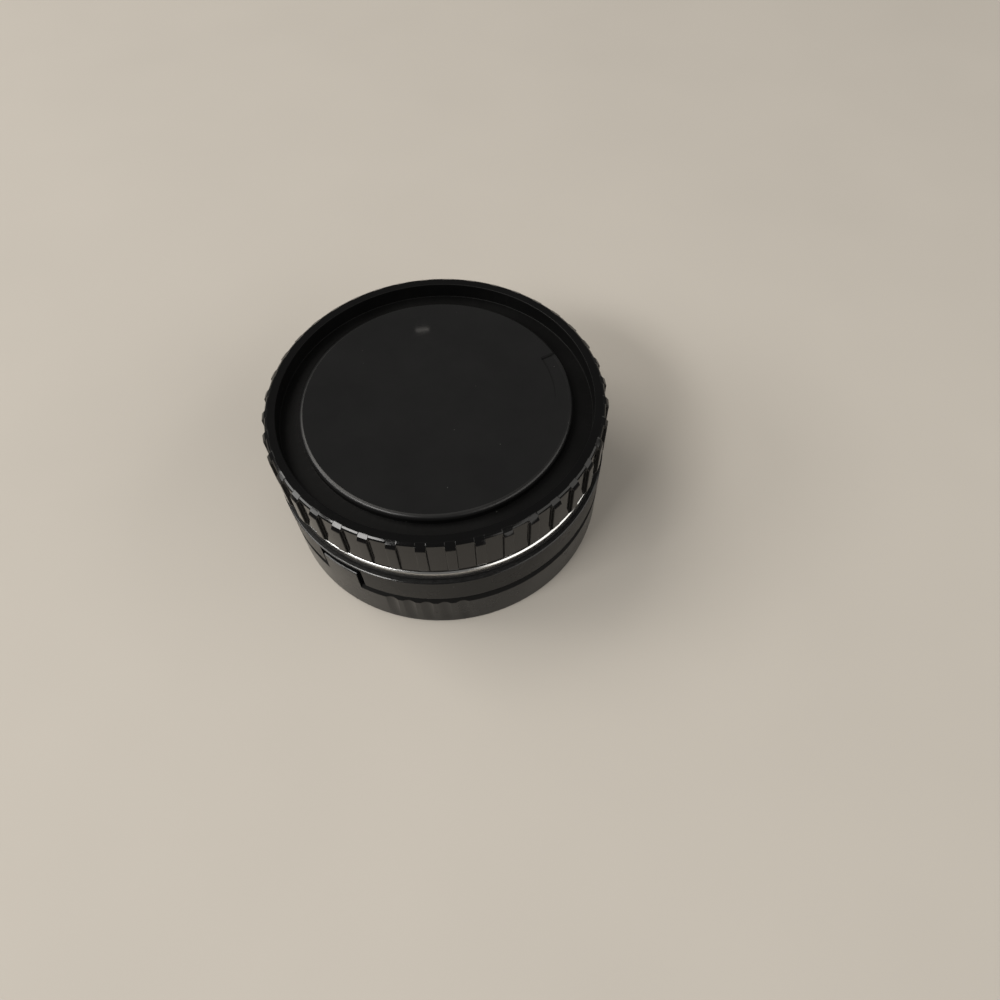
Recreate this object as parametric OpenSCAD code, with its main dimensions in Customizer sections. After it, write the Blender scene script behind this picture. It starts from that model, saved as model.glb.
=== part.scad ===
// Camera teleconverter with its rear cap on, standing on its lens side.
// The optical axis is Z: the lens side is at the bottom, the camera side at the top.
// Lengths are in millimetres. Angles count from +X, seen from above.

/* [Barrel] */
// Outside diameter of the rear shell and the release ring
barrel_d = 62.2; // [58:0.1:70]
// Thickness of the shell and ring walls
barrel_wall = 1.7; // [1.4:0.1:2.2]
// Height of the rear shell
shell_h = 6.25; // [5.5:0.05:12]
// Thickness of the inward flange that clamps the rear shell
shell_flange_t = 1.2; // [0.8:0.1:2]
// Open groove between the release ring and the rear shell
groove_w = 1.3; // [0.6:0.05:1.6]
// Chamfer on the barrel's outer edges
edge_break = 0.3; // [0.1:0.05:0.5]
// Step from the barrel in to the stippled neck ring
neck_step = 0.85; // [0.4:0.05:1.4]
// Height of the neck ring
neck_h = 0.45; // [0.3:0.05:2]

/* [Release ring] */
// Height of the lens release ring without its tab
ring_h = 8.65; // [8.6:0.05:14]
// Middle of the ring's tab
tab_angle = -132.2; // [-160:0.1:-100]
// Width of the tab, along the barrel
tab_w = 7.4; // [4:0.1:12]
// Height of the tab above the ring
tab_h = 4.75; // [3:0.05:5.6]
// Chamfer along the top of the tab
tab_chamfer = 0.3; // [0.2:0.05:0.9]
// Turn of the ring that frees the lens, in degrees
release_turn = 1.9; // [1.2:0.1:2.4]
// Number of finger grips round the ring
grip_count = 3; // [1:1:4]
// Middle of the first finger grip
grip_angle = -102; // [-110:0.5:-95]
// Flutes in each finger grip
flute_count = 5; // [3:1:7]
// Angle from flute to flute
flute_pitch = 6; // [5:0.25:7]
// Depth of a flute
flute_depth = 0.45; // [0.2:0.05:0.7]
// Radius of a flute's hollow
flute_r = 2; // [1.5:0.1:2.4]
// Height of the rib that the ring runs on
rib_h = 1.2; // [0.9:0.1:1.6]
// Space between the ring's bore and the frame's drum
ring_space = 1.1; // [1:0.05:1.3]

/* [Rear mount] */
// Thickness of the rear flange
rear_flange_t = 1.75; // [1.2:0.05:2.2]
// Wall of the rear throat tube
throat_wall = 2; // [1.4:0.1:2.2]
// Height of the throat tube above the flange face
throat_h = 4.9; // [4.3:0.1:5.1]
// How far a bayonet lug stands out of the throat tube
lug_h = 1.8; // [1.5:0.1:2.1]
// Thickness of a bayonet lug
lug_t = 1.4; // [1:0.1:1.6]
// Space between the flange face and the lugs
lug_space = 2.5; // [2.4:0.1:2.7]
// Angle that each rear lug spans
lug_sweep = 54; // [40:1:58]
// Number of bayonet lugs
lug_count = 3; // [3:1:3]
// Middle of the first rear lug
lug_angle = 30; // [0:1:60]

/* [Rear cap] */
// How far the cap's grip stands out past the rear flange
cap_overhang = 0.8; // [0.4:0.05:1]
// Open gap between the rear flange and the cap's lip
cap_gap = 0.8; // [0.4:0.05:0.9]
// Height of the cap
cap_h = 9.45; // [9.2:0.05:14]
// Width of the flat on top of the rim
cap_rim_w = 1.4; // [1:0.05:2]
// Width of the trough between the rim and the raised disc
cap_trough_w = 3.75; // [2.5:0.05:6]
// Drop from the rim to the disc
cap_disc_drop = 1.15; // [0.5:0.05:1.6]
// Rounding of the disc's edge
cap_disc_round = 0.8; // [0.2:0.1:1.2]
// Depth of the trough between rim and disc
cap_trough = 3.05; // [2:0.05:3.4]
// Thickness of the cap's walls
cap_wall = 1.6; // [1.2:0.1:1.7]
// Number of grip ribs round the cap
cap_rib_count = 40; // [20:1:60]
// Width of a grip rib
cap_rib_w = 1.75; // [1:0.05:2.2]
// How far a rib stands out of the cap's wall
cap_rib_rise = 0.6; // [0.4:0.02:0.7]
// Chamfer on the top of a rib
cap_rib_chamfer = 1.2; // [0.9:0.05:1.4]
// Angle of one grip rib
cap_rib_angle = -91.5; // [-96:0.5:-87]
// Height of the sloped foot under the ribs
cap_foot_h = 1.4; // [0.8:0.1:2.5]
// Middle of the turning mark in the disc's edge
mark_angle = 6; // [-30:1:30]
// Length of the turning mark
mark_l = 8; // [4:0.5:12]
// Depth of the turning mark at its step
mark_depth = 0.5; // [0.2:0.05:0.8]
// Angle that each lug inside the cap spans
cap_lug_sweep = 50; // [30:1:56]
// Thickness of the lugs inside the cap
cap_lug_t = 1.3; // [1:0.1:1.4]

/* [Front mount] */
// Step from the barrel's rim up to the chromed front flange
flange_recess = 0.9; // [0.5:0.05:1.2]
// Thickness of the front flange
front_flange_t = 1.2; // [1.1:0.05:1.4]
// Angle that each front tab spans
front_tab_sweep = 56; // [40:1:58]
// Angle of the middle of the first front tab
front_tab_angle = 90; // [60:1:120]
// Thickness of the leaf springs behind the tabs
leaf_t = 0.25; // [0.15:0.05:0.4]
// Rise of a leaf spring at its middle
leaf_rise = 0.55; // [0.3:0.05:0.9]

/* [Lens lock] */
// Radius of the lens lock pin
pin_r = 0.75; // [0.6:0.05:0.8]
// How far the pin stands out of the front flange
pin_proud = 0.75; // [0.3:0.05:0.8]
// Angle of the lock pin
pin_angle = 48; // [30:1:70]
// Wire of the pin's coil spring
pin_spring_wire = 0.22; // [0.16:0.02:0.26]

/* [Frame] */
// Wall of the frame round the lug channel
frame_wall = 2.5; // [2.4:0.05:2.6]
// Depth from the front flange face to the aperture ring's retainer
socket_depth = 5.4; // [5.2:0.1:6]
// Thickness of the retainer
retainer_t = 0.9; // [0.6:0.05:1.2]
// Thickness of the web that holds the lens barrel
web_t = 1.7; // [1.2:0.1:2]

/* [Aperture ring] */
// Width of the ledge outside the aperture ring, for the retainer's screws
aperture_ledge = 1.45; // [1.4:0.05:1.6]
// Thickness of the aperture ring
aperture_t = 1.75; // [1.2:0.05:2]
// Turn of the aperture ring, in degrees
aperture_turn = 24; // [10:1:30]
// Angle of the ring's levers at rest
lever_angle = 90; // [80:1:100]
// Width of a lever
lever_w = 3; // [2:0.1:4]
// Thickness of a lever
lever_t = 1.2; // [0.9:0.1:1.3]
// Length of the lever on the lens side
front_lever_l = 5; // [3:0.1:5.5]
// How far the lever on the camera side stands out past the rear flange
rear_lever_rise = 2.15; // [1:0.05:3]

/* [Optics] */
// Step from the lens barrel's shoulder in to its outside
cell_step = 0.75; // [0.6:0.05:1]
// Wall of the lens barrel round the front element
cell_wall = 2; // [1.6:0.05:2.4]
// Step from the front element in to the rear elements
lens_step = 1.9; // [1.4:0.1:2.6]
// How far the lens barrel stands out past the rear flange
cell_rise = 2.05; // [1.5:0.05:2.5]
// Length of the lens barrel in front of the web
cell_nose = 1.7; // [1.5:0.1:1.9]

/* [Fasteners] */
// Number of screws in each bayonet
screw_count = 4; // [3:1:6]
// Radius of the bayonet screws' shanks
screw_r = 0.7; // [0.6:0.05:0.8]
// Radius of the bayonet screws' heads
screw_head_r = 1.4; // [1.2:0.05:1.5]
// Radius of the red index beads
index_r = 0.8; // [0.5:0.05:1]

/* [Clearances] */
// Radial clearance of a turning or sliding fit
run_fit = 0.05; // [0.03:0.01:0.08]
// Radial clearance between pieces that are fixed together
seat_fit = 0.03; // [0.02:0.01:0.05]
// Clearance between faces that move past each other
face_gap = 0.25; // [0.15:0.05:0.3]
// Clearance beside the tab, the cap and other parts that pass freely
free_gap = 0.35; // [0.25:0.05:0.4]

/* [Hidden] */
$fn = 96;
round_fn = 32;
eps = 0.01;
over = 1;
screw_csk = 0.75;
driver_w = 0.4;
driver_d = 0.35;
rear_screw_grip = 2.8;
front_screw_grip = 4.4;
retainer_screw_grip = 1.4;
thread_end = 0.2;

// Heights from the rim that the converter stands on, up to the cap
z_front = flange_recess;
z_front_back = z_front + front_flange_t;
z_rib = z_front_back + face_gap;
z_rib_top = z_rib + rib_h;
z_shoulder = z_rib_top + face_gap;
shoulder_t = 1.15;
z_shoulder_top = z_shoulder + shoulder_t;
z_shell = ring_h + groove_w;
z_seat = z_shell + face_gap;
z_shell_top = z_shell + shell_h;
z_frame_top = z_shell_top - shell_flange_t;
z_neck_top = z_shell_top + neck_h;
z_face = z_neck_top + rear_flange_t;
z_cap = z_face + cap_gap;
z_cap_top = z_cap + cap_h;
z_retainer = z_front + socket_depth;
z_ring_seat = z_retainer + retainer_t;
z_aperture = z_ring_seat + face_gap - run_fit;
z_aperture_top = z_aperture + aperture_t;
z_web = z_aperture_top + face_gap - run_fit;
z_web_top = z_web + web_t;

// Radii, from the outside inwards
barrel_r = barrel_d / 2;
neck_r = barrel_r - neck_step;
rear_flange_r = neck_r - run_fit;
cap_r = rear_flange_r + cap_overhang;
bore_r = barrel_r - barrel_wall;
seat_r = bore_r - seat_fit;
shoulder_r = bore_r - free_gap;
drum_r = bore_r - ring_space;
flange_lap = 0.6;
flange_r = drum_r + flange_lap;
lug_channel_r = drum_r - frame_wall;
pin_circle_r = lug_channel_r + frame_wall / 2;
channel_step = 0.2;
channel_r = lug_channel_r - channel_step;
lug_r = lug_channel_r - free_gap - run_fit;
throat_r = lug_r - lug_h;
throat_in_r = throat_r - throat_wall;
front_tab_r = throat_r + free_gap;
aperture_r = lug_channel_r - aperture_ledge;
retainer_lap = 0.75;
retainer_in_r = aperture_r - retainer_lap;
lever_out_r = throat_in_r - free_gap;
lever_in_r = lever_out_r - lever_t;
lever_inset = 0.45;
aperture_in_r = lever_in_r - lever_inset;
rear_screw_r = (channel_r + seat_r) / 2;
front_screw_angle = 15;
retainer_screw_angle = 25;
retainer_screw_r = 0.45;
retainer_head_r = 0.65;
retainer_head_h = 0.45;
retainer_cut = 0.2;
retainer_circle_r = lug_channel_r - retainer_head_r - 2 * run_fit;

// The ring's tab and the window that it moves in
tab_sweep = tab_w / barrel_r * 180 / PI;
tab_in_r = seat_r + free_gap;
tab_play = free_gap / barrel_r * 180 / PI;
window_start = tab_angle - tab_sweep / 2 - tab_play;
window_sweep = tab_sweep + release_turn + 2 * tab_play;

// Lock pin: a wedge on the ring lifts the pin's finger as the ring turns
finger_in_r = drum_r + 3 * run_fit;
finger_out_r = bore_r - face_gap;
pin_travel = release_turn * PI / 180 * finger_out_r;
finger_w = 1.6;
finger_gap = 0.1;
finger_rise = 0.3;
finger_t = 0.8;
finger_mid_z = z_rib_top + finger_w / 2 + finger_rise;
finger_top_z = finger_mid_z + finger_w / 2 + finger_t;
pocket_slack = 0.2;
pocket_r = pin_r + pocket_slack;
pin_spring_l = 3.5;
pin_spring_turns = 6;
pocket_top_z = finger_top_z + pin_spring_l;
wedge_lead = 0.15;
wedge_run = finger_w + pin_travel + wedge_lead;

// Compression spring that turns the release ring back
return_angle = -33;
return_sweep = 9.6;
return_r = (drum_r + bore_r) / 2;
return_z = (z_shoulder_top + ring_h) / 2;
return_coil_r = 0.26;
return_wire = 0.16;
return_turns = 9;
post_sweep = 2;
post_h = 1.6;

// Tension spring on the aperture ring's rear lever
hook_rise = 1.6;
hook_z = z_web_top + hook_rise;
hook_r = (lever_out_r + channel_r) / 2;
hook_h = 1.2;
hook_sweep = 4;
aperture_spring_sweep = 32;
aperture_coil_r = 0.42;
aperture_wire = 0.2;
aperture_turns = 14;
anchor_r = 0.6;

// Lens barrel and glass: the front glass lies from the barrel's front end, the rest from its rear end
z_cell = z_web - cell_nose;
z_cell_end = z_face + cell_rise;
cell_shoulder_r = aperture_in_r - free_gap + run_fit;
cell_shoulder_h = 1.1;
cell_r = cell_shoulder_r - cell_step;
front_lens_r = cell_r - cell_wall - seat_fit;
rear_lens_r = front_lens_r - lens_step;
lock_ring_w = 0.95;
lock_ring_r = cell_r + lock_ring_w;
lock_ring_h = 1.4;
front_bulge = 1.7;
front_hollow = 1.1;
glass_inset = 1.2;
z_front_glass = z_cell + glass_inset;
front_glass_edge = 2.2;
rear_inset = 2.28;
rear_glass_edge = 1.1;
rear_hollow = 0.9;
rear_bulge = 0.6;
z_rear_glass = z_cell_end - rear_inset - rear_glass_edge;
spacer_t = 0.6;
z_spacer = z_rear_glass - spacer_t;
crown_edge = 0.8;
z_crown = z_spacer - crown_edge;
cement_gap = 0.02;
cement_hollow = 1.2;
doublet_front_hollow = 1;
doublet_edge = 2.4;
z_doublet = z_crown - cement_gap - doublet_edge;
septum_t = 0.6;
z_septum = z_doublet - septum_t;
stop_w = 1.3;
ring_stop_t = 0.7;
baffle_wall = 0.7;
baffle_lap = 1.8;
spanner_notch_w = 1.2;
window_l = 2 * (rear_lens_r - 2 * stop_w);
window_ratio = 0.7;
window_w = window_l * window_ratio;

// Points of an arc round (x, y), from angle a to angle b
function arc(x, y, r, a, b, n = 5) =
    [for (i = [0 : n]) let (t = a + (b - a) * i / n) [x + r * cos(t), y + r * sin(t)]];

// Height at radius q of a spherical surface that rises by s over its edge at radius r
function rise_at(s, r, q) = s == 0 ? 0 :
    let (rho = (r * r + s * s) / (2 * abs(s))) sign(s) * (sqrt(rho * rho - q * q) - rho + abs(s));

// Triangles that close a swept tube of rings rows with sides points each
function tube_faces(rings, sides) = concat(
    [for (i = [0 : rings - 2], j = [0 : sides - 1]) let (k = (j + 1) % sides)
        [i * sides + j, (i + 1) * sides + k, i * sides + k]],
    [for (i = [0 : rings - 2], j = [0 : sides - 1]) let (k = (j + 1) % sides)
        [i * sides + j, (i + 1) * sides + j, (i + 1) * sides + k]],
    [for (j = [1 : sides - 2]) [0, j, j + 1]],
    [for (j = [1 : sides - 2]) let (b = (rings - 1) * sides) [b, b + j + 1, b + j]]);

// Ring of rectangular section
module ring(r_in, r_out, z0, z1) {
    rotate_extrude() translate([r_in, z0]) square([r_out - r_in, z1 - z0]);
}

// Part of such a ring, from angle start over sweep degrees
module sector(r_in, r_out, z0, z1, start, sweep) {
    rotate([0, 0, start]) rotate_extrude(angle = sweep)
        translate([r_in, z0]) square([r_out - r_in, z1 - z0]);
}

// Copies spread evenly round the axis
module around(count, start = 0) {
    for (i = [0 : count - 1]) rotate([0, 0, start + 360 / count * i]) children();
}

// Round bar or hole parallel to the axis
module post(r, at_r, angle, z0, z1) {
    rotate([0, 0, angle]) translate([at_r, 0, z0]) cylinder(r = r, h = z1 - z0, $fn = round_fn);
}

// Outline in tangent and height, extruded outwards between two radii
module radial_block(r_in, r_out, angle, outline) {
    rotate([0, 0, angle]) translate([r_in, 0, 0]) rotate([90, 0, 90])
        linear_extrude(r_out - r_in) polygon(outline);
}

// Countersunk screw with its head's face at z = 0 and its shank down to -length
module flat_screw(length, slack = 0) {
    translate([0, 0, -length]) cylinder(r = screw_r + slack, h = length, $fn = round_fn);
    translate([0, 0, -screw_csk])
        cylinder(r1 = screw_r + slack, r2 = screw_head_r + slack, h = screw_csk, $fn = round_fn);
}

// Straight cut that a screwdriver fits
module driver_slot() {
    translate([-screw_head_r - over, -driver_w / 2, -driver_d])
        cube([2 * (screw_head_r + over), driver_w, over]);
}

// Coil spring along Z: coil_r is the radius of the wire's centre line
module coil(coil_r, wire, turns, length) {
    steps = 8;
    sides = 6;
    rings = turns * steps + 1;
    rise = length - wire;
    points = [for (i = [0 : rings - 1], j = [0 : sides - 1])
        let (a = 360 * i / steps, b = 360 * j / sides, q = coil_r + wire / 2 * cos(b))
            [q * cos(a), q * sin(a), wire / 2 + rise * i / (rings - 1) + wire / 2 * sin(b)]];
    polyhedron(points, tube_faces(rings, sides));
}

// Lens element with edges at z0 and z1; a surface bulges where its rise is positive
module lens(r, z0, z1, front_rise, back_rise) {
    steps = 16;
    profile = concat(
        [for (i = [0 : steps]) let (q = r * i / steps) [q, z0 - rise_at(front_rise, r, q)]],
        [for (i = [steps : -1 : 0]) let (q = r * i / steps) [q, z1 + rise_at(back_rise, r, q)]]);
    rotate_extrude() polygon(profile);
}

// Cap: cup with a ribbed grip, a raised disc in its top and three lugs inside
module rear_cap() {
    hollow_inset = 0.08;
    core_r = cap_r - cap_rib_rise;
    flat_r = cap_r - cap_rib_chamfer;
    rim_r = flat_r - cap_rim_w;
    disc_r = rim_r - cap_trough_w;
    skirt_r = core_r - cap_wall;
    dome_r = disc_r - cap_wall;
    disc_z = z_cap_top - cap_disc_drop;
    trough_z = z_cap_top - cap_trough;
    lug_top_z = z_face + lug_space - free_gap;
    lip = 0.3;
    lip_r = core_r - hollow_inset;
    mark_w = 3.1;
    profile = concat(
        [[0, disc_z - cap_wall], [dome_r, disc_z - cap_wall], [dome_r, trough_z - cap_wall],
            [skirt_r, trough_z - cap_wall], [skirt_r, z_cap]],
        arc(lip_r - lip, z_cap + lip, lip, -90, 0),
        [[cap_r, z_cap + cap_foot_h], [cap_r, z_cap_top - cap_rib_chamfer], [flat_r, z_cap_top],
            [rim_r, z_cap_top], [rim_r, trough_z], [disc_r, trough_z]],
        arc(disc_r - cap_disc_round, disc_z - cap_disc_round, cap_disc_round, 0, 90),
        [[0, disc_z]]);
    // Hollow between two ribs, with a finer chamfer at its top
    hollow_break = core_r - flat_r + hollow_inset;
    rib_sweep = cap_rib_w / cap_r * 180 / PI;
    hollow = [[core_r, z_cap - over], [core_r, z_cap_top - hollow_break],
        [core_r - hollow_break - eps, z_cap_top + eps], [cap_r + over, z_cap_top + eps],
        [cap_r + over, z_cap - over]];
    // Ramp that marks which way the cap turns
    mark = [[-mark_l / 2, disc_z], [mark_l / 2, disc_z - mark_depth], [mark_l / 2, disc_z + over],
        [-mark_l / 2, disc_z + over]];
    color([0.06, 0.06, 0.06]) {
        difference() {
            rotate_extrude() polygon(profile);
            around(cap_rib_count, cap_rib_angle + rib_sweep / 2)
                rotate_extrude(angle = 360 / cap_rib_count - rib_sweep) polygon(hollow);
            radial_block(disc_r - mark_w, disc_r + over, mark_angle, mark);
        }
        around(lug_count, lug_angle - cap_lug_sweep / 2)
            sector(throat_r + free_gap, skirt_r + eps, lug_top_z - cap_lug_t, lug_top_z, 0, cap_lug_sweep);
    }
}

// Chromed flange with the throat tube and its three lugs
module rear_bayonet() {
    lug_z = z_face + lug_space;
    color([0.8, 0.8, 0.8]) difference() {
        union() {
            ring(throat_in_r, rear_flange_r, z_neck_top, z_face);
            ring(throat_in_r, throat_r, z_neck_top, z_face + throat_h);
            around(lug_count, lug_angle - lug_sweep / 2)
                sector(throat_r - eps, lug_r, lug_z, lug_z + lug_t, 0, lug_sweep);
        }
        around(screw_count) translate([rear_screw_r, 0, z_face]) flat_screw(rear_flange_t + over, seat_fit);
        // Hole that the camera's own lock pin drops into
        post(pin_r + free_gap, pin_circle_r, pin_angle + 180, z_neck_top - over, z_face + over);
    }
}

module rear_bayonet_screws() {
    length = z_face - z_frame_top + rear_screw_grip;
    color([0.75, 0.75, 0.77]) around(screw_count) translate([rear_screw_r, 0, z_face]) difference() {
        flat_screw(length);
        driver_slot();
    }
}

// Dark stippled ring between shell and flange
module neck_ring() {
    color([0.1, 0.1, 0.1]) difference() {
        ring(channel_r, neck_r, z_shell_top, z_neck_top);
        around(screw_count) post(screw_r + seat_fit, rear_screw_r, 0, z_shell_top - over, z_neck_top + over);
    }
}

// Outer shell with the window that the ring's tab moves in
module rear_shell() {
    profile = [[bore_r, z_shell], [barrel_r - edge_break, z_shell], [barrel_r, z_shell + edge_break],
        [barrel_r, z_shell_top - edge_break], [barrel_r - edge_break, z_shell_top], [channel_r, z_shell_top],
        [channel_r, z_frame_top], [bore_r, z_frame_top]];
    color([0.14, 0.14, 0.14]) difference() {
        rotate_extrude() polygon(profile);
        sector(bore_r - eps, barrel_r + over, z_shell - over, z_frame_top, window_start, window_sweep);
        around(screw_count) post(screw_r + seat_fit, rear_screw_r, 0, z_frame_top - over, z_shell_top + over);
        rotate([0, 0, lever_angle]) translate([barrel_r - barrel_wall / 2, 0, (z_shell + z_shell_top) / 2])
            rotate([0, 90, 0]) cylinder(r = index_r + seat_fit, h = barrel_wall, $fn = round_fn);
    }
}

// Frame that carries the mounts, the lens barrel and the aperture ring
module main_frame() {
    wedge_way = 12;
    spring_way = return_sweep + 3.5 * post_sweep;
    profile = [[lug_channel_r, z_front_back], [drum_r, z_front_back], [drum_r, z_seat], [seat_r, z_seat],
        [seat_r, z_frame_top], [channel_r, z_frame_top], [channel_r, z_web_top],
        [cell_r + seat_fit, z_web_top], [cell_r + seat_fit, z_web], [aperture_r + run_fit, z_web],
        [aperture_r + run_fit, z_ring_seat], [lug_channel_r, z_ring_seat]];
    lever_sweep = (lever_w / 2 + free_gap) / lever_in_r * 180 / PI;
    way = finger_w / 2 + free_gap;
    way_top_z = finger_top_z + pin_travel + free_gap;
    color([0.09, 0.09, 0.09]) {
        difference() {
            rotate_extrude() polygon(profile);
            around(screw_count) post(screw_r + seat_fit, rear_screw_r, 0,
                z_frame_top - rear_screw_grip - thread_end, z_frame_top + over);
            around(screw_count, front_screw_angle) post(screw_r + seat_fit, pin_circle_r, 0,
                z_front_back - over, z_front_back + front_screw_grip + thread_end);
            around(lug_count, retainer_screw_angle) post(retainer_screw_r + seat_fit, retainer_circle_r, 0,
                z_ring_seat - over, z_ring_seat + retainer_screw_grip + thread_end);
            // Slot for the rear lever of the aperture ring
            sector(lever_in_r - free_gap, lever_out_r + free_gap, z_web - over, z_web_top + over,
                lever_angle - lever_sweep, 2 * lever_sweep + aperture_turn);
            // Bore, pocket and side slot for the lock pin and its spring
            post(pin_r + run_fit, pin_circle_r, pin_angle, z_front_back - over, z_rib_top);
            post(pocket_r, pin_circle_r, pin_angle, z_rib_top, pocket_top_z);
            radial_block(pin_circle_r, drum_r + over, pin_angle, [[-way, z_rib_top], [way, z_rib_top],
                [way, way_top_z], [-way, way_top_z]]);
        }
        // Shoulder over the ring's rib, open where the ring's wedge and spring post pass
        sector(drum_r - eps, shoulder_r, z_shoulder, z_shoulder_top, pin_angle + wedge_way / 2,
            360 - spring_way / 2 + return_angle - pin_angle - wedge_way / 2);
        sector(drum_r - eps, shoulder_r, z_shoulder, z_shoulder_top, return_angle + spring_way / 2,
            pin_angle - return_angle - (wedge_way + spring_way) / 2);
        // Post that the release spring pushes against
        sector(drum_r - eps, bore_r - free_gap, return_z - post_h / 2, return_z + post_h / 2,
            return_angle + return_sweep / 2, post_sweep);
        // Post that anchors the aperture ring's spring
        post(anchor_r, hook_r, lever_angle - aperture_spring_sweep, z_web_top - eps, hook_z + hook_h / 2);
    }
}

// Release ring with its tab, finger flutes, running rib and lifting wedge
module release_ring() {
    profile = [[bore_r, 0], [barrel_r - edge_break, 0], [barrel_r, edge_break],
        [barrel_r, ring_h - edge_break], [barrel_r - edge_break, ring_h], [bore_r, ring_h],
        [bore_r, z_rib_top], [drum_r + run_fit, z_rib_top], [drum_r + run_fit, z_rib], [bore_r, z_rib]];
    tab_top_z = ring_h + tab_h;
    tab = [[tab_in_r, ring_h - edge_break], [barrel_r, ring_h - edge_break],
        [barrel_r, tab_top_z - tab_chamfer], [barrel_r - tab_chamfer, tab_top_z], [tab_in_r, tab_top_z]];
    wedge_z = finger_mid_z - finger_gap;
    wedge_end = finger_w / 2 + finger_gap;
    wedge_start = wedge_end - wedge_run;
    color([0.15, 0.15, 0.15]) {
        difference() {
            union() {
                rotate_extrude() polygon(profile);
                rotate([0, 0, tab_angle - tab_sweep / 2]) rotate_extrude(angle = tab_sweep) polygon(tab);
            }
            around(grip_count, grip_angle) for (i = [0 : flute_count - 1])
                rotate([0, 0, (i - (flute_count - 1) / 2) * flute_pitch])
                    translate([barrel_r - flute_depth + flute_r, 0, -over])
                        cylinder(r = flute_r, h = ring_h + 2 * over, $fn = round_fn);
        }
        radial_block(finger_in_r, bore_r + barrel_wall / 4, pin_angle, [[wedge_start, z_rib_top - eps],
            [wedge_end, z_rib_top - eps], [wedge_end, wedge_z - wedge_end],
            [wedge_start, wedge_z - wedge_start]]);
        sector(drum_r + free_gap, bore_r + eps, return_z - post_h / 2, return_z + post_h / 2,
            return_angle - return_sweep / 2 - post_sweep, post_sweep);
    }
}

module release_spring() {
    length = 2 * return_r * sin(return_sweep / 2) - 2 * finger_gap;
    color([0.7, 0.7, 0.7]) rotate([0, 0, return_angle])
        translate([return_r * cos(return_sweep / 2), -length / 2, return_z]) rotate([-90, 0, 0])
            coil(return_coil_r, return_wire, return_turns, length);
}

// Chromed ring with the three tabs that hold a lens
module front_bayonet() {
    color([0.8, 0.8, 0.8]) difference() {
        union() {
            ring(lug_channel_r, flange_r, z_front, z_front_back);
            around(lug_count, front_tab_angle - front_tab_sweep / 2)
                sector(front_tab_r, lug_channel_r + eps, z_front, z_front_back, 0, front_tab_sweep);
        }
        around(screw_count, front_screw_angle) translate([pin_circle_r, 0, z_front]) mirror([0, 0, 1])
            flat_screw(front_flange_t + over, seat_fit);
        post(pin_r + run_fit, pin_circle_r, pin_angle, z_front - over, z_front_back + over);
        post(index_r + seat_fit, pin_circle_r, lever_angle, z_front - over, z_front + front_flange_t / 2);
    }
}

module front_bayonet_screws() {
    length = front_flange_t + front_screw_grip;
    color([0.75, 0.75, 0.77]) around(screw_count, front_screw_angle) translate([pin_circle_r, 0, z_front])
        mirror([0, 0, 1]) difference() {
            flat_screw(length);
            driver_slot();
        }
}

// Bowed leaf springs that draw a lens's lugs against the tabs
module bayonet_leaf_springs() {
    span = 13;
    half = span / 2;
    bow_r = (half * half + leaf_rise * leaf_rise) / (2 * leaf_rise);
    mid_r = (front_tab_r + lug_channel_r) / 2;
    width = lug_channel_r - front_tab_r - 2 * free_gap;
    z_leaf = z_front_back + leaf_rise + leaf_t;
    color([0.7, 0.68, 0.6]) around(lug_count, front_tab_angle) intersection() {
        translate([mid_r - width, 0, z_leaf - bow_r]) rotate([0, 90, 0]) difference() {
            cylinder(r = bow_r, h = 2 * width);
            translate([0, 0, -over]) cylinder(r = bow_r - leaf_t, h = 2 * width + 2 * over);
        }
        sector(mid_r - width / 2, mid_r + width / 2, z_front_back, z_leaf, -half / mid_r * 180 / PI,
            span / mid_r * 180 / PI);
    }
}

// Pin that locks a lens, with the finger that the ring's wedge lifts
module lens_lock_pin() {
    color([0.78, 0.78, 0.76]) union() {
        post(pin_r, pin_circle_r, pin_angle, z_front - pin_proud, finger_top_z);
        radial_block(pin_circle_r, finger_out_r, pin_angle, [[-finger_w / 2, finger_mid_z + finger_w / 2],
            [finger_w / 2, finger_mid_z - finger_w / 2], [finger_w / 2, finger_top_z],
            [-finger_w / 2, finger_top_z]]);
    }
}

module lock_pin_spring() {
    color([0.7, 0.7, 0.7]) rotate([0, 0, pin_angle])
        translate([pin_circle_r, 0, finger_top_z + finger_gap / 2])
            coil(pin_r - pin_spring_wire / 2 - run_fit, pin_spring_wire, pin_spring_turns,
                pocket_top_z - finger_top_z - finger_gap);
}

// Ring that carries the diaphragm movement through the converter
module aperture_ring() {
    half = lever_w / 2 / lever_in_r * 180 / PI;
    color([0.55, 0.5, 0.35]) union() {
        ring(aperture_in_r, aperture_r, z_aperture, z_aperture_top);
        sector(lever_in_r, lever_out_r, z_aperture - front_lever_l, z_aperture + eps, lever_angle - half,
            2 * half);
        sector(lever_in_r, lever_out_r, z_aperture_top - eps, z_face + rear_lever_rise, lever_angle - half,
            2 * half);
        sector(lever_out_r - eps, hook_r + aperture_coil_r, hook_z - hook_h / 2, hook_z + hook_h / 2,
            lever_angle - hook_sweep / 2, hook_sweep);
    }
}

module aperture_spring() {
    start = lever_angle - hook_sweep / 2;
    end = lever_angle - aperture_spring_sweep + anchor_r / hook_r * 180 / PI;
    length = 2 * hook_r * sin((start - end) / 2) - 2 * finger_gap;
    color([0.7, 0.7, 0.7]) rotate([0, 0, (start + end) / 2])
        translate([hook_r * cos((start - end) / 2), -length / 2, hook_z]) rotate([-90, 0, 0])
            coil(aperture_coil_r, aperture_wire, aperture_turns, length);
}

// Thin ring that keeps the aperture ring in the frame
module aperture_retainer() {
    color([0.6, 0.6, 0.6]) difference() {
        ring(retainer_in_r, lug_channel_r - seat_fit, z_retainer, z_ring_seat);
        around(lug_count, retainer_screw_angle) post(retainer_screw_r + seat_fit, retainer_circle_r, 0,
            z_retainer - over, z_ring_seat + over);
    }
}

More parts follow.
